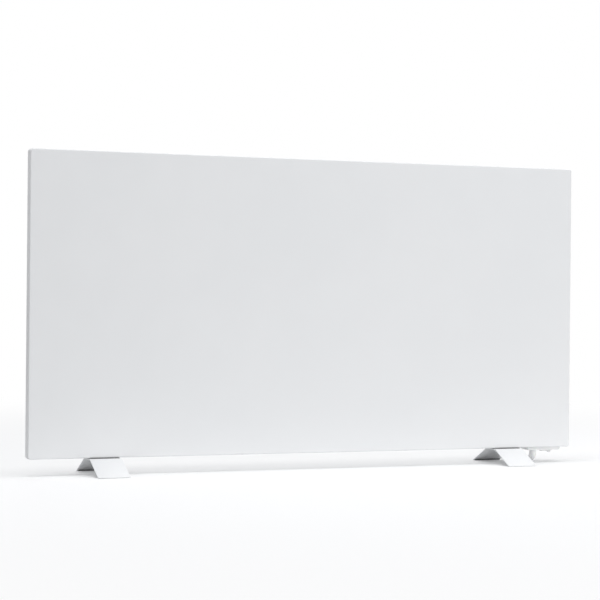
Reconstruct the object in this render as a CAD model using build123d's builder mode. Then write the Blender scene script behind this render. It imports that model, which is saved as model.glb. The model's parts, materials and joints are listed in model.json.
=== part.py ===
from build123d import *
import math
import os

os.makedirs("parts", exist_ok=True)

# Infrared panel heater that stands on two folded feet.
# Frame: X runs along the panel, Y from the room side to the wall side, Z up.
# The origin is on the floor, under the middle of the panel and its feet.

# ---------------------------------------------------------------- panel sizes
panel_width = 1200.0
panel_height = 605.0
panel_depth = 22.0  # front face to the outside of the back cover
corner_radius = 6.0  # seen from the front
bend_radius = 2.5  # outside radius where the front sheet turns to the side
tray_sheet = 0.8
flange_width = 13.0  # the tray's return flange behind, inside its wall
cover_sheet = 0.6
cover_inset = 4.0  # back cover's edge inside the tray's outline
slip = 0.3  # clearance of a part that moves against its neighbour
loose = 0.1  # clearance of a screw or a stud in its hole

# ------------------------------------------------------------ heating sandwich
stack_margin = 16.0  # sandwich's edge inside the tray's outline
mica_sheet = 0.5
film_sheet = 0.4
foil_sheet = 0.3
film_margin = 12.0  # element's edge inside the mica
recess_side_gap = 4.0  # wiring recess beyond the control box's left side
recess_top_gap = 8.0  # and above its top

# ------------------------------------------------------------------------ feet
foot_width = 65.0
foot_depth = 170.0
foot_top_depth = 42.0  # flat that carries the panel
foot_rise = 32.0  # floor to the top of that flat
foot_inset = 154.0  # foot's middle to the panel's end
foot_sheet = 2.0
foot_bend = 3.0  # outside radius of the folds
foot_tip_gap = 0.6  # floor to the cut edge of a leg
foot_screw_pitch = 40.0
spacer_thickness = 1.0
spacer_inset = 3.0
glide_length = 60.0
glide_width = 4.5

# ------------------------------------------------------------------- fasteners
m5_radius = 2.5
m5_head_radius = 4.75
m5_head_height = 3.5
rivet_wall = 1.1  # sleeve of a rivet nut around its thread
rivet_flange = 1.6  # its flange beyond the sleeve
rivet_flange_height = 0.8
rivet_length = 12.0
m6_radius = 3.0
wall_nut_length = 13.0
wall_inset_x = 150.0  # sleeve to the panel's end
wall_inset_z = 102.5  # sleeve to the panel's upper or lower edge
tapping_radius = 1.75
tapping_head_radius = 3.5
tapping_head_height = 2.0
tapping_length = 6.5
cover_screw_row = 6
cover_row_inset = 25.0  # a row's first screw to the panel's end
cover_side_inset = 165.0  # a side's first screw to the panel's edge

# ----------------------------------------------------------------- control box
box_width = 81.0
box_height = 100.0
box_depth = 34.0
box_inset = 10.0  # box side to the panel's right edge
box_drop = 8.0  # box bottom below the panel
box_wall = 2.2
box_plate = 2.0
box_corner = 6.0
box_edge = 3.0
boss_inset = 9.0
boss_radius = 4.0
m3_radius = 1.5
m3_head_radius = 2.8
m3_head_height = 1.4
m3_length = 16.0
standoff_height = 7.0
standoff_radius = 3.0
board_sheet = 1.6
board_side_gap = 15.0  # board's side to the box's outside
board_screw_inset = 4.0
board_top_gap = 20.0  # board's top edge below the box's top
board_low_gap = 30.0  # board's lower edge above the box's bottom
fixing_side_inset = 26.0  # fixings to the box's side
fixing_low_inset = 21.0  # lower fixings above the panel's bottom edge
fixing_high_inset = 9.0  # upper fixings below the box's top
m4_radius = 2.0
m4_head_radius = 3.6
m4_head_height = 2.4
m4_nut_radius = 4.0
m4_nut_height = 3.0

# --------------------------------------------------------------- rocker switch
rocker_inset = 27.0  # switch's middle to the box's right side
bezel_length = 31.0
bezel_width = 15.0
bezel_height = 1.5
bezel_corner = 2.0
switch_body_length = 26.5
switch_body_width = 12.6
switch_body_height = 20.0
rocker_length = 24.5
rocker_width = 9.6
rocker_well = 9.0  # depth of the well that the rocker swings in
rocker_tilt = 9.0  # either side of level, degrees
rocker_proud = 3.6  # level rocker's ends below the bezel
rocker_dish = 1.6  # how far its middle is drawn in
rocker_depth = 4.0  # its body above the pivot's underside
pivot_radius = 1.2
pivot_fit = 0.05
pivot_length = 1.2  # hole for each trunnion, into the housing
pivot_rise = 1.6  # pivot above the box's bottom
blade_height = 6.0

# ---------------------------------------------------------------- push buttons
button_radius = 4.5
button_first_rise = 34.0  # lowest button above the box's bottom
lens_drop = 21.0  # indicator below the box's top
button_proud = 1.6
button_flange = 1.1
button_flange_height = 1.2
button_travel = 0.7
tact_gap = 1.0  # button's flange to the tact switch at rest
tact_size = 6.0
tact_height = 3.6
side_board_sheet = 1.2
side_board_width = 12.0
side_rib_length = 34.0
side_rib_sheet = 3.0
lens_radius = 1.6
lens_proud = 0.4

# ----------------------------------------------------------------- mains cord
cord_diameter = 7.0
gland_inset = 21.0  # gland to the box's left side
gland_depth = 15.0  # gland behind the back cover
gland_flange_radius = 8.2
gland_flange_height = 1.5
gland_neck_radius = 5.6
gland_neck_length = 7.5
gland_nut_radius = 8.5
gland_nut_height = 4.0
boot_radius = 7.6
boot_bend = 9.0
boot_low_radius = 5.9
boot_end_radius = 4.75
boot_end_length = 15.0
floor_gap = 0.1
coil_lanes = 3
coil_layers = 2
coil_mean_radius = 35.0
coil_round = 3.0
tie_sheet = 0.6
tie_width = 10.0
tie_angle = 95.0

# --------------------------------------------------------------- mains plug
plug_radius = 18.5
plug_face_length = 30.0
plug_neck_length = 22.0
plug_neck_radius = 6.5
plug_slot_width = 8.0
plug_slot_depth = 2.5
pin_radius = 2.4
pin_length = 19.0
pin_pitch = 19.0
clip_width = 4.0
clip_sheet = 0.8

# ------------------------------------------------------------ derived positions
panel_bottom = foot_rise + spacer_thickness
panel_top = panel_bottom + panel_height
panel_middle = panel_bottom + panel_height / 2
front_y = -panel_depth / 2
back_y = panel_depth / 2
tray_back_y = back_y - cover_sheet
mica_front_y = front_y + tray_sheet
film_y = mica_front_y + mica_sheet
mica_rear_y = film_y + film_sheet
foil_y = mica_rear_y + mica_sheet
wool_y = foil_y + foil_sheet
stack_width = panel_width - 2 * stack_margin
stack_height = panel_height - 2 * stack_margin
stack_right = stack_width / 2
stack_bottom = panel_bottom + stack_margin
foot_centre_x = panel_width / 2 - foot_inset
rivet_radius = m5_radius + rivet_wall
wall_nut_radius = m6_radius + rivet_wall
foot_points = [
    (side * foot_centre_x + half * foot_screw_pitch / 2, 0)
    for side in (-1, 1)
    for half in (-1, 1)
]

box_right = panel_width / 2 - box_inset
box_left = box_right - box_width
box_centre_x = (box_left + box_right) / 2
box_bottom = panel_bottom - box_drop
box_top = box_bottom + box_height
box_centre_z = box_bottom + box_height / 2
plate_y = back_y + box_plate
box_back_y = back_y + box_depth
shell_inner_y = box_back_y - box_wall
board_y = plate_y + standoff_height
board_width = box_width - 2 * board_side_gap
board_height = box_height - board_top_gap - board_low_gap
board_centre_z = box_top - board_top_gap - board_height / 2
switch_y = (plate_y + box_back_y) / 2
wire_z = box_top - board_top_gap / 2 - box_wall
rocker_centre_x = box_right - rocker_inset
gland_x = box_left + gland_inset
gland_y = back_y + gland_depth

screw_inset = cover_inset + (tray_sheet + flange_width - cover_inset) / 2
screw_top_z = panel_top - screw_inset
screw_bottom_z = panel_bottom + screw_inset
screw_side_x = panel_width / 2 - screw_inset
row_start_x = cover_row_inset - panel_width / 2
row_pitch = (panel_width - 2 * cover_row_inset) / (cover_screw_row - 1)
row_x = [row_start_x + i * row_pitch for i in range(cover_screw_row)]
low_row_x = [min(x, box_left - screw_inset) for x in row_x]
side_z = [panel_bottom + cover_side_inset, panel_top - cover_side_inset]
cover_screw_points = (
    [(x, screw_top_z) for x in row_x]
    + [(x, screw_bottom_z) for x in low_row_x]
    + [(side * screw_side_x, z) for side in (-1, 1) for z in side_z]
)


def upright(y):
    """Plane across the depth at this Y: sketch x is X, sketch y is Z."""
    return Plane.XZ.offset(-y)


# ------------------------------------------------------------------ front panel
# A sheet steel tray: face, four side walls and a flange turned in behind.
with BuildPart() as tray_hollow:
    with BuildSketch(upright(mica_front_y)):
        with Locations((0, panel_middle)):
            RectangleRounded(
                panel_width - 2 * tray_sheet,
                panel_height - 2 * tray_sheet,
                corner_radius - tray_sheet,
            )
    extrude(amount=-(tray_back_y - tray_sheet - mica_front_y))
    fillet(tray_hollow.faces().sort_by(Axis.Y)[0].edges(), bend_radius - tray_sheet)
    with BuildSketch(upright(mica_front_y)):
        with Locations((0, panel_middle)):
            Rectangle(
                panel_width - 2 * (tray_sheet + flange_width),
                panel_height - 2 * (tray_sheet + flange_width),
            )
    extrude(amount=-(tray_back_y - mica_front_y))

with BuildPart() as front_panel:
    with BuildSketch(upright(front_y)):
        with Locations((0, panel_middle)):
            RectangleRounded(panel_width, panel_height, corner_radius)
    extrude(amount=-(tray_back_y - front_y))
    fillet(front_panel.faces().sort_by(Axis.Y)[0].edges(), bend_radius)
    add(tray_hollow.part, mode=Mode.SUBTRACT)
    with BuildSketch(Plane.XY.offset(panel_bottom)):
        with Locations(*foot_points):
            Circle(rivet_radius + loose)
    extrude(amount=tray_sheet, mode=Mode.SUBTRACT)
    with BuildSketch(upright(tray_back_y)):
        with Locations(*cover_screw_points):
            Circle(tapping_radius + loose)
    extrude(amount=tray_sheet, mode=Mode.SUBTRACT)
front_panel.part.label = "front_panel"
export_step(front_panel.part, "parts/front_panel.step")


# ------------------------------------------------------------- heating sandwich
def stack_layer(y, thickness, margin):
    """A flat layer of the sandwich, set in by margin from the stack's outline."""
    with BuildPart() as layer:
        with BuildSketch(upright(y)):
            with Locations((0, panel_middle)):
                Rectangle(stack_width - 2 * margin, stack_height - 2 * margin)
        extrude(amount=-thickness)
    return layer.part


def cut_recess(y, thickness):
    """The wiring recess at the lower right corner, as a solid to subtract."""
    with BuildPart(mode=Mode.PRIVATE) as recess:
        with BuildSketch(upright(y)):
            with Locations((stack_right, stack_bottom)):
                Rectangle(
                    stack_right - box_left + recess_side_gap,
                    box_top + recess_top_gap - stack_bottom,
                    align=(Align.MAX, Align.MIN),
                )
        extrude(amount=-thickness)
    return recess.part


with BuildPart() as mica_front:
    add(stack_layer(mica_front_y, mica_sheet, 0))
mica_front.part.label = "mica_front"
export_step(mica_front.part, "parts/mica_front.step")

with BuildPart() as heating_film:
    add(stack_layer(film_y, film_sheet, film_margin))
heating_film.part.label = "heating_film"
export_step(heating_film.part, "parts/heating_film.step")

with BuildPart() as mica_rear:
    add(stack_layer(mica_rear_y, mica_sheet, 0))
mica_rear.part.label = "mica_rear"
export_step(mica_rear.part, "parts/mica_rear.step")

with BuildPart() as reflector_foil:
    add(stack_layer(foil_y, foil_sheet, 0))
    add(cut_recess(foil_y, foil_sheet), mode=Mode.SUBTRACT)
reflector_foil.part.label = "reflector_foil"
export_step(reflector_foil.part, "parts/reflector_foil.step")

wall_nut_points = [
    (side * (panel_width / 2 - wall_inset_x), z)
    for side in (-1, 1)
    for z in (panel_bottom + wall_inset_z, panel_top - wall_inset_z)
]
with BuildPart() as insulation_board:
    add(stack_layer(wool_y, tray_back_y - wool_y, 0))
    add(cut_recess(wool_y, tray_back_y - wool_y), mode=Mode.SUBTRACT)
    with BuildSketch(upright(tray_back_y)):
        with Locations(*wall_nut_points):
            Circle(wall_nut_radius + slip)
    extrude(amount=wall_nut_length, mode=Mode.SUBTRACT)
insulation_board.part.label = "insulation_board"
export_step(insulation_board.part, "parts/insulation_board.step")

# ------------------------------------------------------------------- back cover
fixing_reach = box_width / 2 - fixing_side_inset
fixing_points = [
    (box_centre_x + side * fixing_reach, z)
    for side in (-1, 1)
    for z in (panel_bottom + fixing_low_inset, box_top - fixing_high_inset)
]
wire_hole_radius = 5.0
with BuildPart() as back_cover:
    with BuildSketch(upright(tray_back_y)):
        with Locations((0, panel_middle)):
            RectangleRounded(
                panel_width - 2 * cover_inset, panel_height - 2 * cover_inset, corner_radius
            )
        with Locations(*cover_screw_points):
            Circle(tapping_radius, mode=Mode.SUBTRACT)
        with Locations(*wall_nut_points):
            Circle(wall_nut_radius + loose, mode=Mode.SUBTRACT)
        with Locations(*fixing_points):
            Circle(m4_radius + loose, mode=Mode.SUBTRACT)
        with Locations((box_centre_x, wire_z)):
            Circle(wire_hole_radius, mode=Mode.SUBTRACT)
    extrude(amount=-cover_sheet)
back_cover.part.label = "back_cover"
export_step(back_cover.part, "parts/back_cover.step")


with BuildPart() as cover_screws:
    with BuildSketch(upright(back_y)):
        with Locations(*cover_screw_points):
            Circle(tapping_head_radius)
    extrude(amount=-tapping_head_height)
    fillet(
        cover_screws.faces().group_by(Axis.Y)[-1].edges(), tapping_head_height * 0.45
    )
    with BuildSketch(upright(back_y)):
        with Locations(*cover_screw_points):
            Circle(tapping_radius - loose)
    extrude(amount=tapping_length)
cover_screws.part.label = "cover_screws"
export_step(cover_screws.part, "parts/cover_screws.step")

# Four threaded sleeves in the back cover, for hanging the panel on a wall.
with BuildPart() as wall_mount_nuts:
    with BuildSketch(upright(back_y)):
        with Locations(*wall_nut_points):
            Circle(wall_nut_radius + rivet_flange)
    extrude(amount=-rivet_flange_height)
    with BuildSketch(upright(back_y)):
        with Locations(*wall_nut_points):
            Circle(wall_nut_radius)
    extrude(amount=wall_nut_length)
    with BuildSketch(upright(back_y + rivet_flange_height)):
        with Locations(*wall_nut_points):
            Circle(m6_radius)
    extrude(amount=wall_nut_length, mode=Mode.SUBTRACT)
wall_mount_nuts.part.label = "wall_mount_nuts"
export_step(wall_mount_nuts.part, "parts/wall_mount_nuts.step")

# ------------------------------------------------------------------------- feet
half_depth = foot_depth / 2
half_top = foot_top_depth / 2
leg_slope = (half_depth - half_top) / (foot_rise - foot_tip_gap)
run_out = 3.0  # the blank goes on past the cut edge by this height before it is cut
low_z = foot_tip_gap - run_out
low_y = half_depth + leg_slope * run_out


def folded_foot(centre_x):
    """One foot: a strip folded into a low tent with a flat top, cut level below."""
    with BuildPart() as foot:
        with BuildSketch(Plane.YZ.offset(centre_x - foot_width / 2)):
            with BuildLine():
                outside = FilletPolyline(
                    (-low_y, low_z),
                    (-half_top, foot_rise),
                    (half_top, foot_rise),
                    (low_y, low_z),
                    radius=foot_bend,
                )
                offset(outside, amount=foot_sheet, side=Side.RIGHT)
            make_face()
        extrude(amount=foot_width)
        split(bisect_by=Plane.XY.offset(foot_tip_gap), keep=Keep.TOP)
        with BuildSketch(Plane.XY.offset(foot_rise)):
            with Locations((centre_x, 0)):
                with GridLocations(foot_screw_pitch, 0, 2, 1):
                    Circle(m5_radius + 2 * loose)
        extrude(amount=-foot_sheet, mode=Mode.SUBTRACT)
    return foot.part


with BuildPart() as left_foot:
    add(folded_foot(-foot_centre_x))
left_foot.part.label = "left_foot"
export_step(left_foot.part, "parts/left_foot.step")

with BuildPart() as right_foot:
    add(folded_foot(foot_centre_x))
right_foot.part.label = "right_foot"
export_step(right_foot.part, "parts/right_foot.step")

with BuildPart() as foot_spacers:
    with BuildSketch(Plane.XY.offset(foot_rise)):
        with GridLocations(2 * foot_centre_x, 0, 2, 1):
            Rectangle(foot_width - 2 * spacer_inset, foot_top_depth - 4 * spacer_inset)
        with Locations(*foot_points):
            Circle(rivet_radius + rivet_flange + loose, mode=Mode.SUBTRACT)
    extrude(amount=spacer_thickness)
foot_spacers.part.label = "foot_spacers"
export_step(foot_spacers.part, "parts/foot_spacers.step")

with BuildPart() as foot_nuts:
    with BuildSketch(Plane.XY.offset(panel_bottom)):
        with Locations(*foot_points):
            Circle(rivet_radius + rivet_flange)
    extrude(amount=-rivet_flange_height)
    with BuildSketch(Plane.XY.offset(panel_bottom)):
        with Locations(*foot_points):
            Circle(rivet_radius)
    extrude(amount=rivet_length)
    with BuildSketch(Plane.XY.offset(panel_bottom - rivet_flange_height)):
        with Locations(*foot_points):
            Circle(m5_radius + loose)
    extrude(amount=rivet_flange_height + rivet_length, mode=Mode.SUBTRACT)
foot_nuts.part.label = "foot_nuts"
export_step(foot_nuts.part, "parts/foot_nuts.step")

with BuildPart() as foot_screws:
    with BuildSketch(Plane.XY.offset(foot_rise - foot_sheet)):
        with Locations(*foot_points):
            Circle(m5_head_radius)
    extrude(amount=-m5_head_height)
    fillet(foot_screws.faces().group_by(Axis.Z)[0].edges(), m5_head_height * 0.4)
    with BuildSketch(Plane.XY.offset(foot_rise - foot_sheet)):
        with Locations(*foot_points):
            Circle(m5_radius)
    extrude(amount=foot_sheet + spacer_thickness + rivet_length)
foot_screws.part.label = "foot_screws"
export_step(foot_screws.part, "parts/foot_screws.step")

# Rubber wedges fill the angle between each leg's end and the floor.
inner_rise = foot_sheet * math.hypot(1, leg_slope) / leg_slope  # sheet measured upright
wedge_out_y = half_depth - 1.1 * foot_sheet * leg_slope
wedge_in_y = wedge_out_y - glide_width


def leg_under(y):
    """Height of the leg's lower face above the floor at this distance from the middle."""
    return foot_tip_gap + (half_depth - y) / leg_slope - inner_rise


with BuildPart() as foot_glides:
    for centre_x in (-foot_centre_x, foot_centre_x):
        for side in (-1, 1):
            with BuildSketch(Plane.YZ.offset(centre_x - glide_length / 2)):
                with BuildLine():
                    Polyline(
                        (side * wedge_in_y, 0),
                        (side * wedge_out_y, 0),
                        (side * wedge_out_y, leg_under(wedge_out_y)),
                        (side * wedge_in_y, leg_under(wedge_in_y)),
                        close=True,
                    )
                make_face()
            extrude(amount=glide_length)
foot_glides.part.label = "foot_glides"
export_step(foot_glides.part, "parts/foot_glides.step")

# ----------------------------------------------------------------- control box
box_point = (box_centre_x, box_centre_z)
boss_pitch_x = box_width - 2 * boss_inset
boss_pitch_z = box_height - 2 * boss_inset
board_pitch_x = board_width - 2 * board_screw_inset
board_pitch_z = board_height - 2 * board_screw_inset
board_point = (box_centre_x, board_centre_z)

button_x = box_right - box_wall  # inner side of the wall with the buttons
flange_x = button_x - slip  # outer side of a button's flange at rest
tact_x = flange_x - button_flange_height - tact_gap
side_board_x = tact_x - tact_height
button_low_z = box_bottom + button_first_rise
lens_point = (switch_y, box_top - lens_drop)
button_pitch = (lens_point[1] - button_low_z) / 3
button_points = [(switch_y, button_low_z + i * button_pitch) for i in range(3)]

with BuildPart() as box_base:
    with BuildSketch(upright(back_y)):
        with Locations(box_point):
            RectangleRounded(box_width, box_height, box_corner)
    extrude(amount=-box_plate)
    with BuildSketch(upright(plate_y)):
        with Locations(box_point):
            with GridLocations(boss_pitch_x, boss_pitch_z, 2, 2):
                Circle(boss_radius)
    extrude(amount=-(shell_inner_y - plate_y))
    with BuildSketch(upright(plate_y)):
        with Locations(board_point):
            with GridLocations(board_pitch_x, board_pitch_z, 2, 2):
                Circle(standoff_radius)
    extrude(amount=-standoff_height)
    with BuildSketch(upright(plate_y)):
        with Locations((side_board_x - side_board_sheet / 2, button_points[1][1])):
            Rectangle(side_rib_sheet, side_rib_length)
    extrude(amount=-(switch_y - side_board_width / 2 - plate_y))
    with BuildSketch(upright(shell_inner_y)):
        with Locations(box_point):
            with GridLocations(boss_pitch_x, boss_pitch_z, 2, 2):
                Circle(m3_radius)
    extrude(amount=m3_length, mode=Mode.SUBTRACT)
    with BuildSketch(upright(board_y)):
        with Locations(board_point):
            with GridLocations(board_pitch_x, board_pitch_z, 2, 2):
                Circle(m3_radius)
    extrude(amount=standoff_height - slip, mode=Mode.SUBTRACT)
    with BuildSketch(upright(back_y)):
        with Locations(*fixing_points):
            Circle(m4_radius + loose)
        with Locations((box_centre_x, wire_z)):
            Circle(wire_hole_radius)
    extrude(amount=-box_plate, mode=Mode.SUBTRACT)
box_base.part.label = "box_base"
export_step(box_base.part, "parts/box_base.step")

with BuildPart() as box_cover:
    with BuildSketch(upright(plate_y)):
        with Locations(box_point):
            RectangleRounded(box_width, box_height, box_corner)
    extrude(amount=-(box_back_y - plate_y))
    fillet(box_cover.faces().sort_by(Axis.Y)[-1].edges(), box_edge)
    with BuildSketch(upright(plate_y)):
        with Locations(box_point):
            RectangleRounded(
                box_width - 2 * box_wall, box_height - 2 * box_wall, box_corner - box_wall
            )
    extrude(amount=-(shell_inner_y - plate_y), mode=Mode.SUBTRACT)
    with BuildSketch(upright(box_back_y)):
        with Locations(box_point):
            with GridLocations(boss_pitch_x, boss_pitch_z, 2, 2):
                Circle(m3_head_radius + loose)
    extrude(amount=m3_head_height, mode=Mode.SUBTRACT)
    with BuildSketch(upright(box_back_y)):
        with Locations(box_point):
            with GridLocations(boss_pitch_x, boss_pitch_z, 2, 2):
                Circle(m3_radius + loose)
    extrude(amount=box_wall, mode=Mode.SUBTRACT)
    with BuildSketch(Plane.XY.offset(box_bottom)):
        with Locations((gland_x, gland_y)):
            Circle(gland_neck_radius + loose)
        with Locations((rocker_centre_x, switch_y)):
            Rectangle(switch_body_length + 2 * loose, switch_body_width + 2 * loose)
    extrude(amount=box_wall, mode=Mode.SUBTRACT)
    with BuildSketch(Plane.YZ.offset(box_right)):
        with Locations(*button_points):
            Circle(button_radius + slip)
        with Locations(lens_point):
            Circle(lens_radius + loose)
    extrude(amount=-box_wall, mode=Mode.SUBTRACT)
box_cover.part.label = "box_cover"
export_step(box_cover.part, "parts/box_cover.step")

with BuildPart() as box_screws:
    with BuildSketch(upright(box_back_y - m3_head_height)):
        with Locations(box_point):
            with GridLocations(boss_pitch_x, boss_pitch_z, 2, 2):
                Circle(m3_head_radius)
    extrude(amount=-(m3_head_height - slip))
    with BuildSketch(upright(box_back_y - m3_head_height)):
        with Locations(box_point):
            with GridLocations(boss_pitch_x, boss_pitch_z, 2, 2):
                Circle(m3_radius - loose)
    extrude(amount=m3_length)
box_screws.part.label = "box_screws"
export_step(box_screws.part, "parts/box_screws.step")

with BuildPart() as box_fixing_screws:
    with BuildSketch(upright(plate_y)):
        with Locations(*fixing_points):
            Circle(m4_head_radius)
    extrude(amount=-m4_head_height)
    with BuildSketch(upright(plate_y)):
        with Locations(*fixing_points):
            Circle(m4_radius)
    extrude(amount=box_plate + cover_sheet + m4_nut_height)
box_fixing_screws.part.label = "box_fixing_screws"
export_step(box_fixing_screws.part, "parts/box_fixing_screws.step")

with BuildPart() as box_fixing_nuts:
    with BuildSketch(upright(tray_back_y)):
        with Locations(*fixing_points):
            RegularPolygon(m4_nut_radius, 6)
        with Locations(*fixing_points):
            Circle(m4_radius + loose, mode=Mode.SUBTRACT)
    extrude(amount=m4_nut_height)
box_fixing_nuts.part.label = "box_fixing_nuts"
export_step(box_fixing_nuts.part, "parts/box_fixing_nuts.step")

# ------------------------------------------------------------ inside the box
with BuildPart() as circuit_board:
    with BuildSketch(upright(board_y)):
        with Locations(board_point):
            Rectangle(board_width, board_height)
            with GridLocations(board_pitch_x, board_pitch_z, 2, 2):
                Circle(m3_radius + loose, mode=Mode.SUBTRACT)
    extrude(amount=-board_sheet)
circuit_board.part.label = "circuit_board"
export_step(circuit_board.part, "parts/circuit_board.step")

board_face_y = board_y + board_sheet
with BuildPart() as board_screws:
    with BuildSketch(upright(board_face_y)):
        with Locations(board_point):
            with GridLocations(board_pitch_x, board_pitch_z, 2, 2):
                Circle(m3_head_radius)
    extrude(amount=-m3_head_height)
    with BuildSketch(upright(board_face_y)):
        with Locations(board_point):
            with GridLocations(board_pitch_x, board_pitch_z, 2, 2):
                Circle(m3_radius - loose)
    extrude(amount=standoff_height - slip)
board_screws.part.label = "board_screws"
export_step(board_screws.part, "parts/board_screws.step")

# Sizes run along the board, up the board and off the board.
relay_size = (19.0, 15.5, 15.0)
supply_height = 18.0
supply_depth = 14.0
supply_edge = 6.0  # the supply's side to the board's left edge
supply_gap = 8.5  # its other side to the relay
capacitor_radius = 5.0
capacitor_height = 13.0
terminal_height = 9.0
terminal_depth = 11.0
upper_row_drop = 17.0  # the upper row of parts below the board's top
terminal_rise = 7.0  # the terminal block above the board's lower edge
capacitor_rise = 10.0
terminal_left_gap = 1.5  # gland's middle to the terminal block's left side
terminal_right_gap = 17.0  # its other side to the switch's middle
board_top_z = board_centre_z + board_height / 2
board_low_z = board_centre_z - board_height / 2
relay_point = (rocker_centre_x, board_top_z - upper_row_drop)
supply_left = box_centre_x - board_width / 2 + supply_edge
supply_right = rocker_centre_x - relay_size[0] / 2 - supply_gap
supply_point = ((supply_left + supply_right) / 2, relay_point[1])
capacitor_point = (rocker_centre_x, board_low_z + capacitor_rise)
terminal_left = gland_x + terminal_left_gap
terminal_width = rocker_centre_x - terminal_right_gap - terminal_left
terminal_point = (terminal_left + terminal_width / 2, board_low_z + terminal_rise)


with BuildPart() as relay:
    with BuildSketch(upright(board_face_y)):
        with Locations(relay_point):
            Rectangle(relay_size[0], relay_size[1])
    extrude(amount=-relay_size[2])
    chamfer(relay.faces().sort_by(Axis.Y)[-1].edges(), 0.6)
relay.part.label = "relay"
export_step(relay.part, "parts/relay.step")

with BuildPart() as power_supply:
    with BuildSketch(upright(board_face_y)):
        with Locations(supply_point):
            Rectangle(supply_right - supply_left, supply_height)
    extrude(amount=-supply_depth)
    chamfer(power_supply.faces().sort_by(Axis.Y)[-1].edges(), 0.6)
power_supply.part.label = "power_supply"
export_step(power_supply.part, "parts/power_supply.step")

with BuildPart() as capacitor:
    with BuildSketch(upright(board_face_y)):
        with Locations(capacitor_point):
            Circle(capacitor_radius)
    extrude(amount=-capacitor_height)
    fillet(capacitor.faces().sort_by(Axis.Y)[-1].edges(), 0.8)
capacitor.part.label = "capacitor"
export_step(capacitor.part, "parts/capacitor.step")

with BuildPart() as terminal_block:
    with BuildSketch(upright(board_face_y)):
        with Locations(terminal_point):
            Rectangle(terminal_width, terminal_height)
    extrude(amount=-terminal_depth)
    with BuildSketch(upright(board_face_y + terminal_depth)):
        with Locations(terminal_point):
            with GridLocations(terminal_width / 5, 0, 5, 1):
                Circle(1.6)
    extrude(amount=terminal_depth / 3, mode=Mode.SUBTRACT)
terminal_block.part.label = "terminal_block"
export_step(terminal_block.part, "parts/terminal_block.step")

# Heating leads: from a small block on the plate, through the sleeve, to the element.
block_side_gap = 5.4  # the block's side to a fixing screw's head
block_width = 2 * (fixing_reach - m4_head_radius - block_side_gap)
block_height = 9.0
block_depth = 12.0
lead_radius = 1.2
lead_pitch = 4.4
lead_points = [(box_centre_x + side * lead_pitch / 2, wire_z) for side in (-1, 1)]
with BuildPart() as lead_sleeve:
    with BuildSketch(upright(tray_back_y)):
        with Locations((box_centre_x, wire_z)):
            Circle(wire_hole_radius - loose)
        with Locations(*lead_points):
            Circle(lead_radius + loose, mode=Mode.SUBTRACT)
    extrude(amount=-(plate_y - tray_back_y))
    with BuildSketch(upright(tray_back_y)):
        with Locations((box_centre_x, wire_z)):
            Circle(wire_hole_radius + 1.5)
        with Locations(*lead_points):
            Circle(lead_radius + loose, mode=Mode.SUBTRACT)
    extrude(amount=1.2)
lead_sleeve.part.label = "lead_sleeve"
export_step(lead_sleeve.part, "parts/lead_sleeve.step")

with BuildPart() as element_block:
    with BuildSketch(upright(plate_y)):
        with Locations((box_centre_x, wire_z)):
            Rectangle(block_width, block_height)
    extrude(amount=-block_depth)
    chamfer(element_block.faces().sort_by(Axis.Y)[-1].edges(), 0.8)
element_block.part.label = "element_block"
export_step(element_block.part, "parts/element_block.step")

with BuildPart() as element_leads:
    with BuildSketch(upright(plate_y)):
        with Locations(*lead_points):
            Circle(lead_radius)
    extrude(amount=plate_y - foil_y)
element_leads.part.label = "element_leads"
export_step(element_leads.part, "parts/element_leads.step")

# Overheat cut-out: a bimetal can on the sandwich, in the wiring recess.
cutout_radius = 8.0
cutout_height = 7.0
cutout_cap_radius = 5.5
cutout_cap_height = 4.0
cutout_point = (box_centre_x, board_centre_z)
with BuildPart() as thermal_cutout:
    with BuildSketch(upright(foil_y)):
        with Locations(cutout_point):
            Circle(cutout_radius)
    extrude(amount=-cutout_height)
    with BuildSketch(upright(foil_y + cutout_height)):
        with Locations(cutout_point):
            Circle(cutout_cap_radius)
    extrude(amount=-cutout_cap_height)
thermal_cutout.part.label = "thermal_cutout"
export_step(thermal_cutout.part, "parts/thermal_cutout.step")

# --------------------------------------------------------------- rocker switch
# The housing hangs in the box's bottom wall; the rocker swings in its open well.
bezel_z = box_bottom - bezel_height
pivot_z = box_bottom + pivot_rise
pivot_point = (rocker_centre_x, switch_y, pivot_z)
well_length = rocker_length + 2 * slip
well_width = rocker_width + 2 * slip
trunnion_span = well_width + 2 * (pivot_length - slip)

with BuildPart() as switch_housing:
    with BuildSketch(Plane.XY.offset(bezel_z)):
        with Locations((rocker_centre_x, switch_y)):
            RectangleRounded(bezel_length, bezel_width, bezel_corner)
    extrude(amount=bezel_height)
    fillet(switch_housing.faces().sort_by(Axis.Z)[0].edges(), bezel_height * 0.4)
    with BuildSketch(Plane.XY.offset(box_bottom)):
        with Locations((rocker_centre_x, switch_y)):
            Rectangle(switch_body_length, switch_body_width)
    extrude(amount=switch_body_height)
    with BuildSketch(Plane.XY.offset(bezel_z)):
        with Locations((rocker_centre_x, switch_y)):
            Rectangle(well_length, well_width)
    extrude(amount=bezel_height + rocker_well, mode=Mode.SUBTRACT)
    with BuildSketch(upright(switch_y - well_width / 2 - pivot_length)):
        with Locations((rocker_centre_x, pivot_z)):
            Circle(pivot_radius + pivot_fit)
    extrude(amount=-(well_width + 2 * pivot_length), mode=Mode.SUBTRACT)
    with BuildSketch(Plane.XY.offset(box_bottom + switch_body_height)):
        with Locations((rocker_centre_x, switch_y)):
            with GridLocations(switch_body_length / 2, 0, 2, 1):
                Rectangle(0.8, 6.3)
    extrude(amount=blade_height)
switch_housing.part.label = "switch_housing"
export_step(switch_housing.part, "parts/switch_housing.step")

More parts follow.
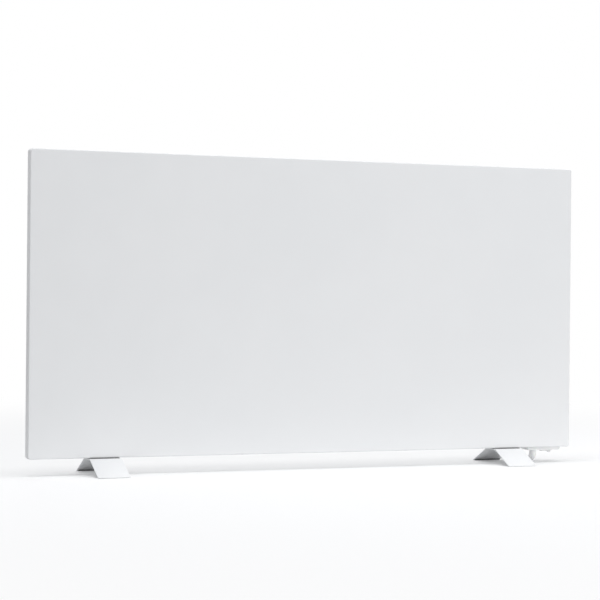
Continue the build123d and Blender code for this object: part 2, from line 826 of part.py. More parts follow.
# The rocker in its own frame: x along it, y down out of the box. It rests tilted.
tilt = math.radians(rocker_tilt)
rocker_plane = Plane(
    origin=(rocker_centre_x, switch_y + rocker_width / 2, pivot_z),
    x_dir=(math.cos(tilt), 0, -math.sin(tilt)),
    z_dir=(0, -1, 0),
)
rocker_out = pivot_rise + bezel_height + rocker_proud
with BuildPart() as rocker:
    with BuildSketch(rocker_plane):
        with BuildLine():
            ends = Polyline(
                (-rocker_length / 2 + 1.6, rocker_depth - 1.0),
                (-rocker_length / 2 + 0.9, -rocker_out),
            )
            ThreePointArc(
                (-rocker_length / 2 + 0.9, -rocker_out),
                (0, -rocker_out + rocker_dish),
                (rocker_length / 2 - 0.9, -rocker_out),
            )
            Line(
                (rocker_length / 2 - 0.9, -rocker_out),
                (rocker_length / 2 - 1.6, rocker_depth - 1.0),
            )
            Line(
                (rocker_length / 2 - 1.6, rocker_depth - 1.0),
                (-rocker_length / 2 + 1.6, rocker_depth - 1.0),
            )
        make_face()
    extrude(amount=rocker_width)
    fillet(rocker.edges().filter_by(Axis.Y).group_by(Axis.Z)[0], 0.8)
    with BuildSketch(upright(switch_y - trunnion_span / 2)):
        with Locations((rocker_centre_x, pivot_z)):
            Circle(pivot_radius)
    extrude(amount=-trunnion_span)
rocker.part.label = "rocker"
export_step(rocker.part, "parts/rocker.step")

# ---------------------------------------------------------------- push buttons
for name, (y, z) in zip(("button_low", "button_mid", "button_high"), button_points):
    with BuildPart() as button:
        with BuildSketch(Plane.YZ.offset(flange_x)):
            with Locations((y, z)):
                Circle(button_radius)
        extrude(amount=box_right + button_proud - flange_x)
        fillet(button.faces().sort_by(Axis.X)[-1].edges(), 0.6)
        with BuildSketch(Plane.YZ.offset(flange_x)):
            with Locations((y, z)):
                Circle(button_radius + button_flange)
        extrude(amount=-button_flange_height)
    button.part.label = name
    export_step(button.part, f"parts/{name}.step")

side_low_z = button_low_z - tact_size
side_high_z = lens_point[1] + tact_size
with BuildPart() as tact_switches:
    with BuildSketch(Plane.YZ.offset(side_board_x)):
        with Locations(*button_points):
            Rectangle(tact_size, tact_size)
    extrude(amount=tact_height * 0.6)
    with BuildSketch(Plane.YZ.offset(side_board_x)):
        with Locations(*button_points):
            Circle(tact_size * 0.28)
    extrude(amount=tact_height)
tact_switches.part.label = "tact_switches"
export_step(tact_switches.part, "parts/tact_switches.step")

with BuildPart() as side_board:
    with BuildSketch(Plane.YZ.offset(side_board_x)):
        with Locations((switch_y, (side_low_z + side_high_z) / 2)):
            Rectangle(side_board_width, side_high_z - side_low_z)
    extrude(amount=-side_board_sheet)
side_board.part.label = "side_board"
export_step(side_board.part, "parts/side_board.step")

with BuildPart() as indicator_lens:
    with BuildSketch(Plane.YZ.offset(side_board_x)):
        with Locations(lens_point):
            Circle(lens_radius)
    extrude(amount=box_right + lens_proud - side_board_x)
    fillet(indicator_lens.faces().sort_by(Axis.X)[-1].edges(), lens_proud * 0.8)
indicator_lens.part.label = "indicator_lens"
export_step(indicator_lens.part, "parts/indicator_lens.step")

# ------------------------------------------------------------ inner switch wiring
supply_radius = 1.1
supply_pitch = 3.0
supply_straight = 5.0  # upright stretch at each end of a lead
supply_turn = 4.0
neck_top_z = box_bottom + gland_neck_length
terminal_low_z = terminal_point[1] - terminal_height / 2
with BuildPart() as supply_leads:
    for step in (-1, 0, 1):
        low_x = gland_x + step * supply_pitch
        high_x = terminal_point[0] + step * supply_pitch
        with BuildLine() as lead_run:
            FilletPolyline(
                (low_x, gland_y, neck_top_z),
                (low_x, gland_y, neck_top_z + supply_straight),
                (high_x, gland_y, terminal_low_z - supply_straight),
                (high_x, gland_y, terminal_low_z),
                radius=supply_turn,
            )
        lead_path = lead_run.wire()
        with BuildSketch(Plane(origin=lead_path @ 0, z_dir=lead_path % 0)):
            Circle(supply_radius)
        sweep(path=lead_path)
supply_leads.part.label = "supply_leads"
export_step(supply_leads.part, "parts/supply_leads.step")

blade_top_z = box_bottom + switch_body_height + blade_height
relay_low_z = relay_point[1] - relay_size[1] / 2
with BuildPart() as switch_leads:
    with BuildSketch(Plane.XY.offset(blade_top_z)):
        with Locations((rocker_centre_x, switch_y)):
            with GridLocations(switch_body_length / 2, 0, 2, 1):
                Circle(supply_radius - loose)
    extrude(amount=relay_low_z - blade_top_z)
switch_leads.part.label = "switch_leads"
export_step(switch_leads.part, "parts/switch_leads.step")

# ------------------------------------------------------------------ cord gland
# Flange and neck in the bottom wall, then a tapered boot that turns to the back.
boot_low_z = floor_gap + boot_low_radius + slip  # boot's axis where it runs level
boot_turn_z = boot_low_z + boot_bend
boot_turn_y = gland_y + boot_bend
half_turn = boot_bend * math.sqrt(0.5)
boot_end = (gland_x, boot_turn_y + boot_end_length, boot_low_z)
boot_mean = (boot_radius + boot_low_radius) / 2
gland_low_z = box_bottom - gland_flange_height
with BuildPart() as cord_gland:
    for centre, toward, radius in (
        ((gland_x, gland_y, gland_low_z), (0, 0, -1), boot_radius),
        ((gland_x, gland_y, boot_turn_z), (0, 0, -1), boot_radius),
        (
            (gland_x, boot_turn_y - half_turn, boot_turn_z - half_turn),
            (0, 1, -1),
            boot_mean,
        ),
        ((gland_x, boot_turn_y, boot_low_z), (0, 1, 0), boot_low_radius),
        (boot_end, (0, 1, 0), boot_end_radius),
    ):
        with BuildSketch(Plane(origin=centre, x_dir=(1, 0, 0), z_dir=toward)):
            Circle(radius)
    loft()
    with BuildSketch(Plane.XY.offset(gland_low_z)):
        with Locations((gland_x, gland_y)):
            Circle(gland_flange_radius)
    extrude(amount=gland_flange_height)
    with BuildSketch(Plane.XY.offset(box_bottom)):
        with Locations((gland_x, gland_y)):
            Circle(gland_neck_radius)
    extrude(amount=gland_neck_length)
cord_gland.part.label = "cord_gland"
export_step(cord_gland.part, "parts/cord_gland.step")

with BuildPart() as gland_nut:
    with BuildSketch(Plane.XY.offset(box_bottom + box_wall)):
        with Locations((gland_x, gland_y)):
            RegularPolygon(gland_nut_radius, 6)
            Circle(gland_neck_radius + loose, mode=Mode.SUBTRACT)
    extrude(amount=gland_nut_height)
gland_nut.part.label = "gland_nut"
export_step(gland_nut.part, "parts/gland_nut.step")

# ------------------------------------------------------------------ mains cord
cord_radius = cord_diameter / 2
coil_low_z = floor_gap + tie_sheet + loose
coil_high_z = coil_low_z + coil_layers * cord_diameter
coil_x = gland_x - 12.5
coil_y = gland_y + 112.0
lane_radius = coil_mean_radius + (coil_lanes - 1) / 2 * cord_diameter
low_lane_z = coil_low_z + cord_radius
high_lane_z = coil_high_z - cord_radius
floor_z = floor_gap + cord_radius
plug_z = floor_gap + plug_radius
enter_angle = math.radians(-15)
lead_route = [
    boot_end,
    (gland_x + 0.4, gland_y + 38.0, 5.0),
    (gland_x + 3.6, gland_y + 54.0, floor_z + 0.2),
    (gland_x + 11.8, gland_y + 71.0, floor_z),
    (gland_x + 21.4, gland_y + 87.0, floor_z + 0.3),
    (
        coil_x + lane_radius * math.cos(enter_angle),
        coil_y + lane_radius * math.sin(enter_angle),
        low_lane_z,
    ),
]
tail_route = [
    (coil_x + lane_radius, coil_y, high_lane_z),
    (gland_x + 29.3, gland_y + 124.0, 12.4),
    (gland_x + 29.7, gland_y + 134.5, 15.6),
    (gland_x + 30.0, gland_y + 148.0, plug_z),
    (gland_x + 30.0, gland_y + 162.0, plug_z),
]


def corner_radii(points):
    """Each corner's arc: 0.45 of its shorter run over the tangent of half the turn."""
    radii = []
    for before, at, after in zip(points, points[1:], points[2:]):
        run_in = Vector(*at) - Vector(*before)
        run_out_of = Vector(*after) - Vector(*at)
        turn = math.radians(run_in.get_angle(run_out_of))
        shorter = min(run_in.length, run_out_of.length)
        radii.append(0.45 * shorter / math.tan(turn / 2))
    return radii


def cord_along(points, name):
    """A round cord along straight runs joined by tangent arcs."""
    radii = corner_radii(points)
    with BuildPart() as tube:
        with BuildLine() as route:
            FilletPolyline(*points, radius=radii)
        path = route.wire()
        with BuildSketch(Plane(origin=path @ 0, z_dir=path % 0)):
            Circle(cord_radius)
        sweep(path=path)
    section = math.pi * cord_radius**2
    share = tube.part.volume / (section * path.length)
    print(name, "length", round(path.length, 1), "volume over section x length", round(share, 4))
    print(name, "radii", [round(r, 1) for r in radii])
    return tube.part, path.length


lead_solid, lead_length = cord_along(lead_route, "cord_lead")
with BuildPart() as cord_lead:
    add(lead_solid)
cord_lead.part.label = "cord_lead"
export_step(cord_lead.part, "parts/cord_lead.step")

tail_solid, tail_length = cord_along(tail_route, "cord_tail")
with BuildPart() as cord_tail:
    add(tail_solid)
cord_tail.part.label = "cord_tail"
export_step(cord_tail.part, "parts/cord_tail.step")

coil_plane = Plane(origin=(coil_x, coil_y, 0), x_dir=(1, 0, 0), z_dir=(0, -1, 0))
coil_axis = Axis((coil_x, coil_y, 0), (0, 0, 1))
bundle_middle = (coil_mean_radius, (coil_low_z + coil_high_z) / 2)
bundle_width = coil_lanes * cord_diameter
bundle_height = coil_high_z - coil_low_z
with BuildPart() as cord_coil:
    with BuildSketch(coil_plane):
        with Locations(bundle_middle):
            RectangleRounded(bundle_width, bundle_height, coil_round)
    revolve(axis=coil_axis)
cord_coil.part.label = "cord_coil"
export_step(cord_coil.part, "parts/cord_coil.step")
turn_count = coil_lanes * coil_layers
coil_length = turn_count * 2 * math.pi * coil_mean_radius
print("cord length", round(lead_length + tail_length + coil_length))

tie_turn = math.radians(tie_angle)
tie_plane = Plane(
    origin=(coil_x, coil_y, 0),
    x_dir=(math.cos(tie_turn), math.sin(tie_turn), 0),
    z_dir=(math.sin(tie_turn), -math.cos(tie_turn), 0),
)
with BuildPart() as coil_tie:
    with BuildSketch(tie_plane):
        with Locations(bundle_middle):
            RectangleRounded(
                bundle_width + 2 * (loose + tie_sheet),
                bundle_height + 2 * (loose + tie_sheet),
                coil_round + loose + tie_sheet,
            )
            RectangleRounded(
                bundle_width + 2 * loose,
                bundle_height + 2 * loose,
                coil_round + loose,
                mode=Mode.SUBTRACT,
            )
    revolve(axis=coil_axis, revolution_arc=math.degrees(tie_width / coil_mean_radius))
coil_tie.part.label = "coil_tie"
export_step(coil_tie.part, "parts/coil_tie.step")

# ------------------------------------------------------------------ mains plug
# It lies on its round side behind the coil, rolled a little about its axis.
plug_roll = math.radians(25)
plug_start = tail_route[-1]
plug_face = plug_neck_length + plug_face_length
plug_across = Plane(
    origin=plug_start,
    x_dir=(math.cos(plug_roll), 0, math.sin(plug_roll)),
    z_dir=(0, 1, 0),
)
plug_side = Plane(origin=plug_start, x_dir=(0, 1, 0), z_dir=(-1, 0, 0))
plug_axis = Axis(plug_start, (0, 1, 0))
clip_length = plug_face_length * 0.7
with BuildPart() as plug_body:
    with BuildSketch(plug_side):
        with BuildLine():
            Polyline(
                (0, 0),
                (0, boot_end_radius),
                (plug_neck_length * 0.75, plug_neck_radius),
                (plug_neck_length * 0.85, plug_neck_radius + 3),
                (plug_neck_length + 4, plug_radius - 2),
                (plug_neck_length + 9, plug_radius),
                (plug_face, plug_radius),
                (plug_face, 0),
                close=True,
            )
        make_face()
    revolve(axis=plug_axis)
    fillet(plug_body.faces().sort_by(Axis.Y)[-1].edges(), 1.2)
    with BuildSketch(plug_across.offset(plug_face)):
        with GridLocations(0, 2 * plug_radius - plug_slot_depth, 1, 2):
            Rectangle(plug_slot_width, plug_slot_depth * 1.5)
    extrude(amount=-clip_length, mode=Mode.SUBTRACT)
plug_body.part.label = "plug_body"
export_step(plug_body.part, "parts/plug_body.step")

with BuildPart() as plug_pins:
    with BuildSketch(plug_across.offset(plug_face)):
        with GridLocations(pin_pitch, 0, 2, 1):
            Circle(pin_radius)
    extrude(amount=pin_length)
    fillet(plug_pins.faces().group_by(Axis.Y)[-1].edges(), pin_radius * 0.6)
plug_pins.part.label = "plug_pins"
export_step(plug_pins.part, "parts/plug_pins.step")

slot_floor = plug_radius - plug_slot_depth * 1.25
with BuildPart() as plug_clips:
    with BuildSketch(plug_across.offset(plug_face - slip)):
        with GridLocations(0, 2 * slot_floor + clip_sheet, 1, 2):
            Rectangle(clip_width, clip_sheet)
    extrude(amount=-(clip_length - 2 * slip))
plug_clips.part.label = "plug_clips"
export_step(plug_clips.part, "parts/plug_clips.step")

print("panel bottom", panel_bottom, "box bottom", box_bottom, "pivot", pivot_point)
print("gland end", boot_end, "coil", coil_low_z, coil_high_z, "plug from", plug_start)
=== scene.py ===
# %% [markdown]
# # A flat infrared heater, dressed for its picture
#
# The heater is a wide, shallow steel tray that stands on two folded feet. Its solids come in
# ready-made, in metres, with the origin on the floor under the middle of the panel. X runs along
# the panel, Y from the room to the wall, and Z up. Everything below is placed in that same frame,
# so nothing has to be fitted to anything.

# %% Load the solids
import json
import math

import bpy
from mathutils import Matrix, Vector

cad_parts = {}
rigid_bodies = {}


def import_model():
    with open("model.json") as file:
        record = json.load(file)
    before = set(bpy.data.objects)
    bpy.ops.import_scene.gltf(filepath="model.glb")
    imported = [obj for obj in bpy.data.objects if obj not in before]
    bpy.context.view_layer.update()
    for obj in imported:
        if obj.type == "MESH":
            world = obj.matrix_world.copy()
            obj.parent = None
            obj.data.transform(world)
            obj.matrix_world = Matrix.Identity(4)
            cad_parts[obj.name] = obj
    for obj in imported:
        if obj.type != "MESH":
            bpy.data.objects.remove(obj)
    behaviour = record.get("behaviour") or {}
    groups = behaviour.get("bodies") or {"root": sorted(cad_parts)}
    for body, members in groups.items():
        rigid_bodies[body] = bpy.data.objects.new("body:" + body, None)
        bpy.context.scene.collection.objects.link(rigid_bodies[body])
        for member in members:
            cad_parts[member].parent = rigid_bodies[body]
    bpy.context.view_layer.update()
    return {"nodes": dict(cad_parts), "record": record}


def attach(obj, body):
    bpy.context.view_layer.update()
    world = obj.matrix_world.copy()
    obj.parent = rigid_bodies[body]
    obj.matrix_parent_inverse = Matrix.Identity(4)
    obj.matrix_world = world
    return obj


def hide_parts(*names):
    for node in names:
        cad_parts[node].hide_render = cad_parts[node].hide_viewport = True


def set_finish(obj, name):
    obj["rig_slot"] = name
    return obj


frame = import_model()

# %% [markdown]
# ## The camera
#
# The picture was taken with a long lens from the left, at the height of the panel's middle, so the
# panel's edges run almost parallel. A camera can be aimed with a constraint, or its axes can be
# worked out from three plain angles. The angles are used here, because they were measured from the
# panel's four corners and the feet, and a fitted view must not move when an object changes.

# %% Camera
camera_place = (-1.4087, -3.4768, 0.3515)
yaw = math.radians(21.62)  # turned from straight ahead towards the panel's right end
pitch = math.radians(0.06)  # looking slightly down
roll = math.radians(0.53)
ahead = Vector(
    (math.sin(yaw) * math.cos(pitch), math.cos(yaw) * math.cos(pitch), -math.sin(pitch))
)
level = Vector((math.cos(yaw), -math.sin(yaw), 0))
upward = level.cross(ahead)
right = level * math.cos(roll) + upward * math.sin(roll)
top = upward * math.cos(roll) - level * math.sin(roll)

film_width = 36.0  # millimetres
picture_width, lens_in_pixels = 600, 1815.8
lens = bpy.data.cameras.new("long_lens")
lens.sensor_width = film_width
lens.lens = film_width * lens_in_pixels / picture_width
lens.clip_end = 60.0
camera = bpy.data.objects.new("camera", lens)
bpy.context.scene.collection.objects.link(camera)
camera.matrix_world = Matrix.Translation(camera_place) @ Matrix(
    (
        (right.x, top.x, -ahead.x, 0),
        (right.y, top.y, -ahead.y, 0),
        (right.z, top.z, -ahead.z, 0),
        (0, 0, 0, 1),
    )
)
bpy.context.scene.camera = camera
bpy.context.scene.view_settings.view_transform = "Standard"
print("lens:", round(lens.lens, 2), "mm")

# %% [markdown]
# ## The mains cord
#
# A heater like this has about 1.5 m of white 7 mm cord. It leaves the boot under the control box,
# lies on the floor for a few centimetres and is put away in a tied coil behind the panel: three
# lanes beside each other, in two layers, with the plug next to it. A cord could be a swept mesh,
# but a smooth curve with a round bevel keeps its thickness in every bend and stays easy to edit.
# The route's points are the curve's control points, and the coil is simply more of them.

# %% Coil lanes and how the cord moves from one to the next
coil_middle = Vector((0.5175, 0.138, 0))
low, high, crown = 0.0043, 0.0113, 0.0183  # height of the cord's middle in each layer
lanes = [  # radius and height
    (0.042, low), (0.035, low), (0.028, low),
    (0.028, high), (0.035, high), (0.042, high), (0.0375, crown),
]
moves = [220, 220, 200, 180, 180, 160]  # where each turn starts to change lane, in degrees
move_span = 120.0  # degrees that a change of lane takes


def lane_at(turn, angle):
    """Radius and height of the cord's middle, part of the way round one turn."""
    t = min(max((angle - moves[turn]) / move_span, 0), 1)
    t = t * t * (3 - 2 * t)
    (r0, z0), (r1, z1) = lanes[turn], lanes[turn + 1]
    return r0 + (r1 - r0) * t, z0 + (z1 - z0) * t


turns, per_turn = 6, 18
inside = 0.985  # a quadratic spline runs this much inside its control points
coil_points = []
angle = -15.0  # degrees, where the cord joins the outer lane
while angle < turns * 360 - 1:
    turn = max(int(angle // 360), 0)
    radius, height = lane_at(turn, angle - 360 * turn)
    a = math.radians(angle)
    reach = radius / inside
    coil_points.append(
        coil_middle + Vector((reach * math.cos(a), reach * math.sin(a), height))
    )
    angle += 360 / per_turn
print("coil points:", len(coil_points))

# %% The whole route as one spline
lead_points = [
    (0.530, 0.050, 0.0063),
    (0.5304, 0.064, 0.0050),
    (0.5336, 0.080, 0.0038),
    (0.5418, 0.097, 0.0036),
    (0.5514, 0.113, 0.0039),
]
tail_points = [
    (0.5553, 0.138, 0.0184),
    (0.5560, 0.150, 0.0186),
    (0.5576, 0.162, 0.0186),
    (0.5594, 0.175, 0.0186),
    (0.5600, 0.188, 0.0186),
]
route = [Vector(p) for p in lead_points] + coil_points + [Vector(p) for p in tail_points]
cord_radius = 0.0035
cord_line = bpy.data.curves.new("mains_cord", "CURVE")
cord_line.dimensions = "3D"
spline = cord_line.splines.new("NURBS")
spline.points.add(len(route) - 1)
for point, place in zip(spline.points, route):
    point.co = (*place, 1.0)
    point.radius = cord_radius
spline.order_u = 3
spline.use_endpoint_u = True
spline.resolution_u = 6
cord_line.bevel_depth = 1.0  # times each point's own radius
cord_line.bevel_resolution = 5
cord_line.use_fill_caps = True
mains_cord = bpy.data.objects.new("mains_cord", cord_line)
bpy.context.scene.collection.objects.link(mains_cord)
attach(mains_cord, "heater")
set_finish(mains_cord, "cord_white")
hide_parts("cord_lead", "cord_coil", "cord_tail")
print("cord points:", len(route))

# %% [markdown]
# ## Working helpers
#
# Every new piece starts as a primitive at its real size and place, is shaped in edit mode, and is
# then frozen: its object goes back to the origin and its place stays in the mesh, as in the solids
# that came in. Faces and edges are picked in code, by where they lie and which way they look.

# %% Picking, freezing and handing over a piece
def clear_selection():
    """Leave edit mode and select nothing."""
    if bpy.context.mode != "OBJECT":
        bpy.ops.object.mode_set(mode="OBJECT")
    bpy.ops.object.select_all(action="DESELECT")


def take(piece):
    """Select this piece alone and make it the active one."""
    clear_selection()
    piece.select_set(True)
    bpy.context.view_layer.objects.active = piece


def freeze(piece):
    """Put the piece's place, turn and scale into its mesh."""
    take(piece)
    bpy.ops.object.transform_apply(location=True, rotation=True, scale=True)
    return piece


def new_block(name, centre, size):
    """A box of this size in metres, ready to be shaped."""
    clear_selection()
    bpy.ops.mesh.primitive_cube_add(size=1, location=centre, scale=size)
    piece = bpy.context.object
    piece.name = piece.data.name = name
    return freeze(piece)


def new_disc(name, centre, radius, corners=48, facing=(0, 0, 1)):
    """A filled circle that looks along facing, ready to be extruded."""
    clear_selection()
    turn = Vector((0, 0, 1)).rotation_difference(Vector(facing)).to_euler()
    bpy.ops.mesh.primitive_circle_add(
        vertices=corners, radius=radius, fill_type="NGON", location=centre, rotation=turn
    )
    piece = bpy.context.object
    piece.name = piece.data.name = name
    return freeze(piece)


def start_picking(piece, kind):
    """Set edit mode to faces or edges and leave none of the piece's own selected."""
    take(piece)
    bpy.ops.object.mode_set(mode="EDIT")
    bpy.ops.mesh.select_mode(type=kind)
    bpy.ops.mesh.select_all(action="DESELECT")
    bpy.ops.object.mode_set(mode="OBJECT")


def pick_faces(piece, test):
    """Go into edit mode with only the faces that pass the test selected."""
    start_picking(piece, "FACE")
    for face in piece.data.polygons:
        face.select = test(face.center, face.normal)
    bpy.ops.object.mode_set(mode="EDIT")


def pick_edges(piece, test):
    """Go into edit mode with only the edges whose two ends pass the test selected."""
    start_picking(piece, "EDGE")
    points = piece.data.vertices
    for edge in piece.data.edges:
        edge.select = test(points[edge.vertices[0]].co, points[edge.vertices[1]].co)
    bpy.ops.object.mode_set(mode="EDIT")


def all_over(centre, normal):
    """The test that every face passes."""
    return True


def hand_over(piece, body, slot, *nodes):
    """Smooth the shading, fix the piece to its body, name its finish and hide the solids it stands
    for.
    """
    take(piece)
    bpy.ops.object.shade_smooth_by_angle(angle=math.radians(35))
    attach(piece, body)
    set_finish(piece, slot)
    if nodes:
        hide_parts(*nodes)
    print(piece.name, "faces:", len(piece.data.polygons))
    return piece

# %% [markdown]
# ## The boot that holds the cord
#
# A moulded boot comes straight down out of the control box, turns to the back just above the floor
# and tapers to the cord, with rings that let it flex. It could be lofted from circles, but a disc
# that is extruded, spun through the bend and extruded again is how it is drawn on paper.

# %% Cord boot
gland_x, gland_y = 0.530, 0.026
box_floor = 0.025  # underside of the control box
bend_middle = Vector((gland_x, 0.035, 0.0153))
neck_radius, flange_radius, flange_edge, tube_radius = 0.0056, 0.0082, 0.0079, 0.0075
neck_rise, flange_height, flange_round = 0.0075, 0.0011, 0.0004
bend_steps, bend_taper = 12, 0.981
one_ring = [(0.0022, 1), (0.0003, 0.90), (0.0009, 1), (0.0003, 0.965 / 0.90)]
last_step = (0.0003, 0.92)


def grow(move, widen):
    """Extrude the selected end and widen or narrow it about its own middle."""
    bpy.ops.mesh.extrude_region_move(TRANSFORM_OT_translate={"value": move})
    bpy.ops.transform.resize(value=(widen, widen, widen))


def step_out(widen):
    """Extrude the selected end on the spot and widen it, for a square shoulder."""
    bpy.ops.mesh.extrude_region_move(TRANSFORM_OT_translate={"value": (0, 0, 0)})
    bpy.ops.transform.resize(value=(widen, widen, 1))


boot = new_disc(
    "cord_boot", (gland_x, gland_y, box_floor + neck_rise), neck_radius, facing=(0, 0, -1)
)
pick_faces(boot, all_over)
grow((0, 0, -neck_rise), 1)
step_out(flange_radius / neck_radius)  # flange against the box
grow((0, 0, -flange_height), 1)
grow((0, 0, -flange_round), flange_edge / flange_radius)
step_out(tube_radius / flange_edge)
grow((0, 0, bend_middle.z - box_floor + flange_height + flange_round), 1)
for _ in range(bend_steps):  # the bend, narrower with each part
    bpy.ops.mesh.spin(
        steps=1, angle=math.radians(-90 / bend_steps), center=bend_middle, axis=(1, 0, 0),
        dupli=False,
    )
    bpy.ops.transform.resize(value=(bend_taper, bend_taper, bend_taper))
for length, widen in [*one_ring * 4, last_step]:  # the rings that let it flex
    grow((0, length, 0), widen)
hand_over(boot, "heater", "white_plastic", "cord_gland")
print("boot ends at", round(max(v.co.y for v in boot.data.vertices), 4))
print("boot clears the floor by", round(min(v.co.z for v in boot.data.vertices), 5))

# %% [markdown]
# ## The feet
#
# Each foot is one strip of 2 mm sheet, folded into a low tent with a flat top and cut level at the
# floor. A block could be cut to that outline, but a flat blank that is folded down at both ends and
# then given its thickness is how the real one is made. The folds get their bend radius, the screw
# holes are punched, and last every cut edge is broken a little, so that it catches the light.

# %% Cutting, and applying a modifier
def finish_with(piece, kind, **settings):
    """Add one modifier with these settings and apply it."""
    take(piece)
    modifier = piece.modifiers.new(kind.lower(), kind)
    for setting, value in settings.items():
        setattr(modifier, setting, value)
    bpy.ops.object.modifier_apply(modifier=modifier.name)


def cut_out(piece, cutter):
    """Take the cutter's shape out of the piece, and throw the cutter away."""
    finish_with(piece, "BOOLEAN", operation="DIFFERENCE", object=cutter, solver="EXACT")
    bpy.data.objects.remove(cutter, do_unlink=True)

# %% Folded feet
foot_middle = 0.446  # from the panel's middle
foot_width, foot_top, foot_rise, foot_reach = 0.065, 0.042, 0.032, 0.085
tip_gap, sheet, bend_radius = 0.0006, 0.002, 0.004
hole_offsets, hole_radius, punch_half = (-0.020, 0.020), 0.0027, 0.006
edge_break, very_near = 0.00028, 1e-5
fall = (foot_rise - tip_gap) / (foot_reach - foot_top / 2)
run = foot_reach - foot_top / 2 + 0.006  # the blank is a little long before it is cut
fold_tangent = bend_radius * math.tan(math.atan(fall) / 2)


def at_fold(a, b):
    """True for an edge that runs across the foot where the flat top ends."""
    return abs(abs(a.y) - foot_top / 2) < very_near and abs(a.y - b.y) < very_near


def fold_foot(name, centre_x, node):
    """Fold, thicken, punch and cut one foot."""
    clear_selection()
    bpy.ops.mesh.primitive_plane_add(size=1, location=(centre_x, 0, foot_rise))
    foot = bpy.context.object
    foot.name = foot.data.name = name
    foot.scale = (foot_width, foot_top, 1)
    freeze(foot)
    for side in (-1, 1):
        pick_edges(foot, lambda a, b: min(side * a.y, side * b.y) > foot_top / 2 - very_near)
        bpy.ops.mesh.extrude_region_move(
            TRANSFORM_OT_translate={"value": (0, side * run, -run * fall)}
        )
    pick_edges(foot, at_fold)
    bpy.ops.mesh.bevel(offset=fold_tangent, segments=5)
    clear_selection()
    finish_with(foot, "SOLIDIFY", thickness=sheet, offset=-1, use_even_offset=True)
    pick_faces(foot, all_over)
    bpy.ops.mesh.bisect(
        plane_co=(0, 0, tip_gap), plane_no=(0, 0, 1), use_fill=True, clear_inner=True
    )
    for offset in hole_offsets:
        punch = new_disc("punch", (centre_x + offset, 0, foot_rise - punch_half), hole_radius)
        pick_faces(punch, all_over)
        grow((0, 0, 2 * punch_half), 1)
        clear_selection()
        cut_out(foot, punch)
    finish_with(
        foot, "BEVEL", width=edge_break, segments=2, limit_method="ANGLE",
        angle_limit=math.radians(40), harden_normals=False,
    )
    return hand_over(foot, "heater", "white_enamel", node)


left_sheet = fold_foot("folded_foot_left", -foot_middle, "left_foot")
fold_foot("folded_foot_right", foot_middle, "right_foot")
print("foot from", [round(min(v.co[i] for v in left_sheet.data.vertices), 4) for i in range(3)])
print("foot to", [round(max(v.co[i] for v in left_sheet.data.vertices), 4) for i in range(3)])

# %% [markdown]
# ## The screws
#
# Three kinds of screw show: tapping screws round the back cover, four in the control box, and four
# with a hexagon socket under the feet. Each kind is turned once, like on a lathe, from a disc that
# is extruded step by step. Its recess is cut with a small cutter, and copies go to every seat.
# Each copy stops at its own angle, as driven screws do.

# %% Turning, cutting a recess and repeating
upward_z, to_wall, to_floor = (0, 0, 1), (0, 1, 0), (0, 0, -1)
pan_dome = [(0.45, 1), (0.27, 0.93), (0.18, 0.78), (0.10, 0.55)]  # shares of height and radius
recess_arm, recess_taper = 0.24, 0.66
turn_between = 37  # degrees from one screw to the next


def turn_profile(radius, along, *steps):
    """Extrude the selected disc, which has this radius, through (length, new radius) steps."""
    for length, new_radius in steps:
        if length:
            grow([length * a for a in along], new_radius / radius)
        else:
            bpy.ops.mesh.extrude_region_move(TRANSFORM_OT_translate={"value": (0, 0, 0)})
            bpy.ops.transform.resize(value=(new_radius / radius,) * 3)
        radius = new_radius


def turned_screw(head, height, shank, length):
    """A pan-head screw that stands on the origin, head up and shank down."""
    tip, taper = shank * 0.6, shank * 0.8
    screw = new_disc("screw", (0, 0, -length), tip, corners=24)
    pick_faces(screw, all_over)
    dome = [(height * up, head * out) for up, out in pan_dome]
    turn_profile(tip, upward_z, (taper, shank), (length - taper, shank), (0, head), *dome)
    return screw


def cross_recess(screw, height, across, deep):
    """Cut a cross recess into the head, a little narrower at its bottom."""
    for size in ((across, across * recess_arm), (across * recess_arm, across)):
        blade = new_block("blade", (0, 0, height), (*size, 2 * deep))
        pick_faces(blade, lambda c, n: n.z < -0.9)
        bpy.ops.transform.resize(value=(recess_taper, recess_taper, 1))
        clear_selection()
        cut_out(screw, blade)


def join_up(*parts):
    """Join pieces into the first one."""
    take(parts[0])
    for part in parts:
        part.select_set(True)
    bpy.ops.object.join()
    return parts[0]


def repeat_at(template, name, seats, facing):
    """Put a copy at every seat, looking along facing, and join them into one piece."""
    aim = Vector(upward_z).rotation_difference(Vector(facing)).to_matrix().to_4x4()
    copies = []
    for number, seat in enumerate(seats):
        take(template)
        bpy.ops.object.duplicate()
        twin = bpy.context.object
        stopped = Matrix.Rotation(math.radians(turn_between * number % 90), 4, "Z")
        twin.matrix_world = Matrix.Translation(seat) @ aim @ stopped
        copies.append(twin)
    bpy.data.objects.remove(template, do_unlink=True)
    bpy.context.view_layer.update()
    whole = join_up(*copies)
    whole.name = whole.data.name = name
    return freeze(whole)

# %% Tapping screws of the back cover
back_face = 0.011
screw_x = [-0.575 + 0.230 * i for i in range(6)]
beside_box = 0.5001  # the last screw of the lower row stands clear of the control box
top_row_z, low_row_z = 0.6291, 0.0419
side_row_x, side_row_z = 0.5911, (0.198, 0.473)
seats = [(x, back_face, top_row_z) for x in screw_x]
seats += [(min(x, beside_box), back_face, low_row_z) for x in screw_x]
seats += [(side * side_row_x, back_face, z) for side in (-1, 1) for z in side_row_z]
tapping_head = 0.0020  # height, in metres as everywhere
tapping = turned_screw(head=0.0035, height=tapping_head, shank=0.0016, length=0.0065)
cross_recess(tapping, tapping_head, across=0.0036, deep=0.0011)
tapping_screws = repeat_at(tapping, "back_cover_screws", seats, to_wall)
hand_over(tapping_screws, "heater", "zinc", "cover_screws")

